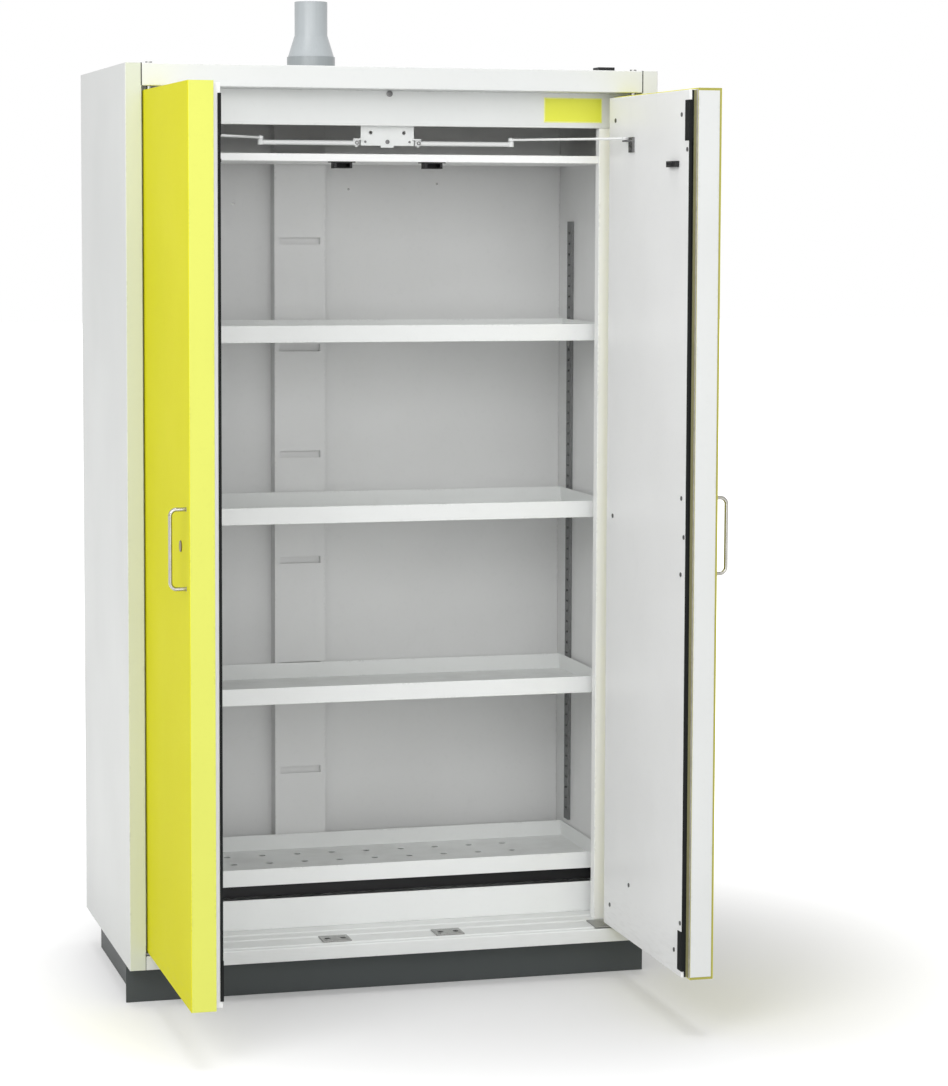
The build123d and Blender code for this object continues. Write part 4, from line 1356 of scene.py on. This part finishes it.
class CABINET_OT_duct_baffles(bpy.types.Operator):
    """Bent baffles behind the slots of the duct"""

    bl_idname = "cabinet.duct_baffles"
    bl_label = "Duct baffles"

    def execute(self, context):
        low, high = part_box("exhaust_duct")
        wall = low.y + SHEET
        middle = (low.x + high.x) / 2
        baffle_low = (middle - BAFFLE_HALF, wall, -BAFFLE_RISE)
        baffle_high = (middle + BAFFLE_HALF, wall + BAFFLE_DEPTH, BAFFLE_RISE)
        baffle = start_block("duct_baffle", baffle_low, baffle_high)
        pick_faces(baffle, FORWARD)
        bpy.ops.mesh.inset(thickness=SHEET, depth=0.0)
        bpy.ops.mesh.extrude_region_move(TRANSFORM_OT_translate={"value": (0.0, BAFFLE_DEPTH - SHEET, 0.0)})
        leave_edit()
        soften(baffle, TRIM_EASE, LONG_EDGE)
        places = [(0.0, 0.0, SLOT_TOP - step * SLOT_PITCH) for step in range(SLOT_COUNT)]
        dress(join("duct_baffles", copies_at(baffle, places)), "carcass", "duct_paint")
        return {"FINISHED"}


class CABINET_OT_sill_details(bpy.types.Operator):
    """Countersunk screws of the sill plates and a black sheet under the insert, painted shade for the dark
    gap
    """

    bl_idname = "cabinet.sill_details"
    bl_label = "Sill details"

    def execute(self, context):
        sizes = context.scene.cabinet_sizes
        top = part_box("sill_plates")[1].z
        places = [(x * MM, SILL_SCREW_Y, top - SILL_SINK) for x in SILL_SCREWS]
        carcass_screws("sill_plate_screws", places, UP, SILL_HEAD, sizes.screw_recess)
        low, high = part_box("bottom_insert")
        shade_sheet_low = (low.x + SHADE_SHEET_SIDE, low.y + SHADE_SHEET_FRONT, low.z)
        shade_sheet_high = (high.x - SHADE_SHEET_SIDE, low.y + SHADE_SHEET_BACK, high.z - TRAY_LIP)
        # The black sheet is painted shade: it darkens the gap between the sump and the insert's lip.
        shade_sheet = start_block("insert_gap_painted_shade", shade_sheet_low, shade_sheet_high)
        soften(shade_sheet, sizes.small_edge, LONG_EDGE)
        dress(shade_sheet, "carcass", "black_plastic")
        return {"FINISHED"}


# Stage

def seen_directly(tree):
    """1 for rays that show the background itself: from the camera, and in gloss or glass."""
    path = shader_node(tree, "ShaderNodeLightPath")
    gloss = maths(tree, "MAXIMUM", path.outputs["Is Glossy Ray"], path.outputs["Is Transmission Ray"])
    return maths(tree, "MAXIMUM", path.outputs["Is Camera Ray"], gloss)


def make_floor():
    """Pale floor with a painted soft shadow: its glow is lowest near a point beside the cabinet and rises to
    white farther out.
    """
    clear_selection()
    bpy.ops.mesh.primitive_plane_add(size=FLOOR_SIZE, location=(0.0, 0.0, -FLOOR_DROP))
    floor = named(bpy.context.object, "studio_floor")
    material = bpy.data.materials.new("studio_floor_paint")
    material.use_nodes = True
    tree = material.node_tree
    tree.nodes.clear()
    paint = shader_node(tree, "ShaderNodeBsdfDiffuse")
    paint.inputs["Color"].default_value = FLOOR_TONE
    glow = shader_node(tree, "ShaderNodeEmission")
    away = shader_node(tree, "ShaderNodeVectorMath", operation="DISTANCE")
    feed(tree, away.inputs[0], shader_node(tree, "ShaderNodeTexCoord").outputs["Object"])
    # The distance from this point sets the painted shadow's fade.
    away.inputs[1].default_value = PAINTED_SHADOW_CENTRE
    level = spread(tree, away.outputs["Value"], FLOOR_NEAR, FLOOR_FAR, PAINTED_SHADOW_GLOW, 1.0)
    feed(tree, glow.inputs["Strength"], times(tree, seen_directly(tree), level))
    both = shader_node(tree, "ShaderNodeAddShader")
    feed(tree, both.inputs[0], paint.outputs[0])
    feed(tree, both.inputs[1], glow.outputs[0])
    output = shader_node(tree, "ShaderNodeOutputMaterial")
    feed(tree, output.inputs["Surface"], both.outputs[0])
    give_material(floor, material)


def make_world(scene):
    world = bpy.data.worlds.new("studio_world")
    scene.world = world
    world.use_nodes = True
    tree = world.node_tree
    tree.nodes.clear()
    light = shader_node(tree, "ShaderNodeBackground")
    light.inputs["Color"].default_value = (1.0, 1.0, 1.0, 1.0)
    feed(tree, light.inputs["Strength"], spread(tree, seen_directly(tree), 0.0, 1.0, WORLD_LIGHT, 1.0))
    output = shader_node(tree, "ShaderNodeOutputWorld")
    feed(tree, output.inputs["Surface"], light.outputs[0])


def make_lamp(name, place, target, size, power):
    lamp = bpy.data.lights.new(name, "AREA")
    lamp.shape = "SQUARE"
    lamp.size = size
    lamp.energy = power
    holder = bpy.data.objects.new(name, lamp)
    bpy.context.scene.collection.objects.link(holder)
    holder.location = place
    aim = Vector(target) - Vector(place)
    holder.rotation_euler = aim.to_track_quat("-Z", "Y").to_euler()


def make_camera(scene):
    view = scene.cabinet_view
    lens = bpy.data.cameras.new("photo_camera")
    lens.sensor_fit = "HORIZONTAL"
    lens.sensor_width = SENSOR
    lens.lens = view.focal_pixels * SENSOR / PHOTO_WIDTH
    lens.shift_y = (view.axis_row - PHOTO_HEIGHT / 2) / PHOTO_WIDTH
    lens.clip_end = VIEW_END
    camera = bpy.data.objects.new("photo_camera", lens)
    scene.collection.objects.link(camera)
    turn = Matrix.Rotation(-view.turn, 4, "Z")
    tilt = Matrix.Rotation(math.pi / 2 - view.tilt, 4, "X")
    camera.matrix_world = Matrix.Translation(view.place) @ turn @ tilt @ Matrix.Rotation(view.roll, 4, "Z")
    scene.camera = camera


class CABINET_OT_stage(bpy.types.Operator):
    """Pale floor, soft studio light and the camera of the photograph"""

    bl_idname = "cabinet.stage"
    bl_label = "Stage"

    def execute(self, context):
        make_floor()
        make_world(context.scene)
        for lamp in LAMPS:
            make_lamp(*lamp)
        make_camera(context.scene)
        context.scene.view_settings.view_transform = "Standard"
        return {"FINISHED"}


class CABINET_PT_panel(bpy.types.Panel):
    """Lists the steps that dress the cabinet"""

    bl_label = "Safety cabinet"
    bl_idname = "CABINET_PT_panel"
    bl_space_type = "VIEW_3D"
    bl_region_type = "UI"
    bl_category = "Cabinet"

    def draw(self, context):
        for step in STEPS:
            self.layout.operator(step.bl_idname)


STEPS = (
    CABINET_OT_plain_nodes,
    CABINET_OT_boards,
    CABINET_OT_sheets,
    CABINET_OT_trays,
    CABINET_OT_insert,
    CABINET_OT_fittings,
    CABINET_OT_door_screws,
    CABINET_OT_header_screws,
    CABINET_OT_closers,
    CABINET_OT_lock,
    CABINET_OT_door_lip,
    CABINET_OT_handles,
    CABINET_OT_blank_plate,
    CABINET_OT_roof_trim,
    CABINET_OT_seams,
    CABINET_OT_rails,
    CABINET_OT_rear_screws,
    CABINET_OT_exhaust,
    CABINET_OT_duct_baffles,
    CABINET_OT_sill_details,
    CABINET_OT_stage,
)
GROUPS = (CabinetColours, CabinetSizes, CabinetView)
CLASSES = GROUPS + STEPS + (CABINET_PT_panel,)


def register():
    for item in CLASSES:
        bpy.utils.register_class(item)
    bpy.types.Scene.cabinet_colours = bpy.props.PointerProperty(type=CabinetColours)
    bpy.types.Scene.cabinet_sizes = bpy.props.PointerProperty(type=CabinetSizes)
    bpy.types.Scene.cabinet_view = bpy.props.PointerProperty(type=CabinetView)


def unregister():
    del bpy.types.Scene.cabinet_view
    del bpy.types.Scene.cabinet_sizes
    del bpy.types.Scene.cabinet_colours
    for item in reversed(CLASSES):
        bpy.utils.unregister_class(item)


def main():
    register()
    for step in STEPS:
        area, name = step.bl_idname.split(".")
        getattr(getattr(bpy.ops, area), name)()


if __name__ == "__main__":
    main()
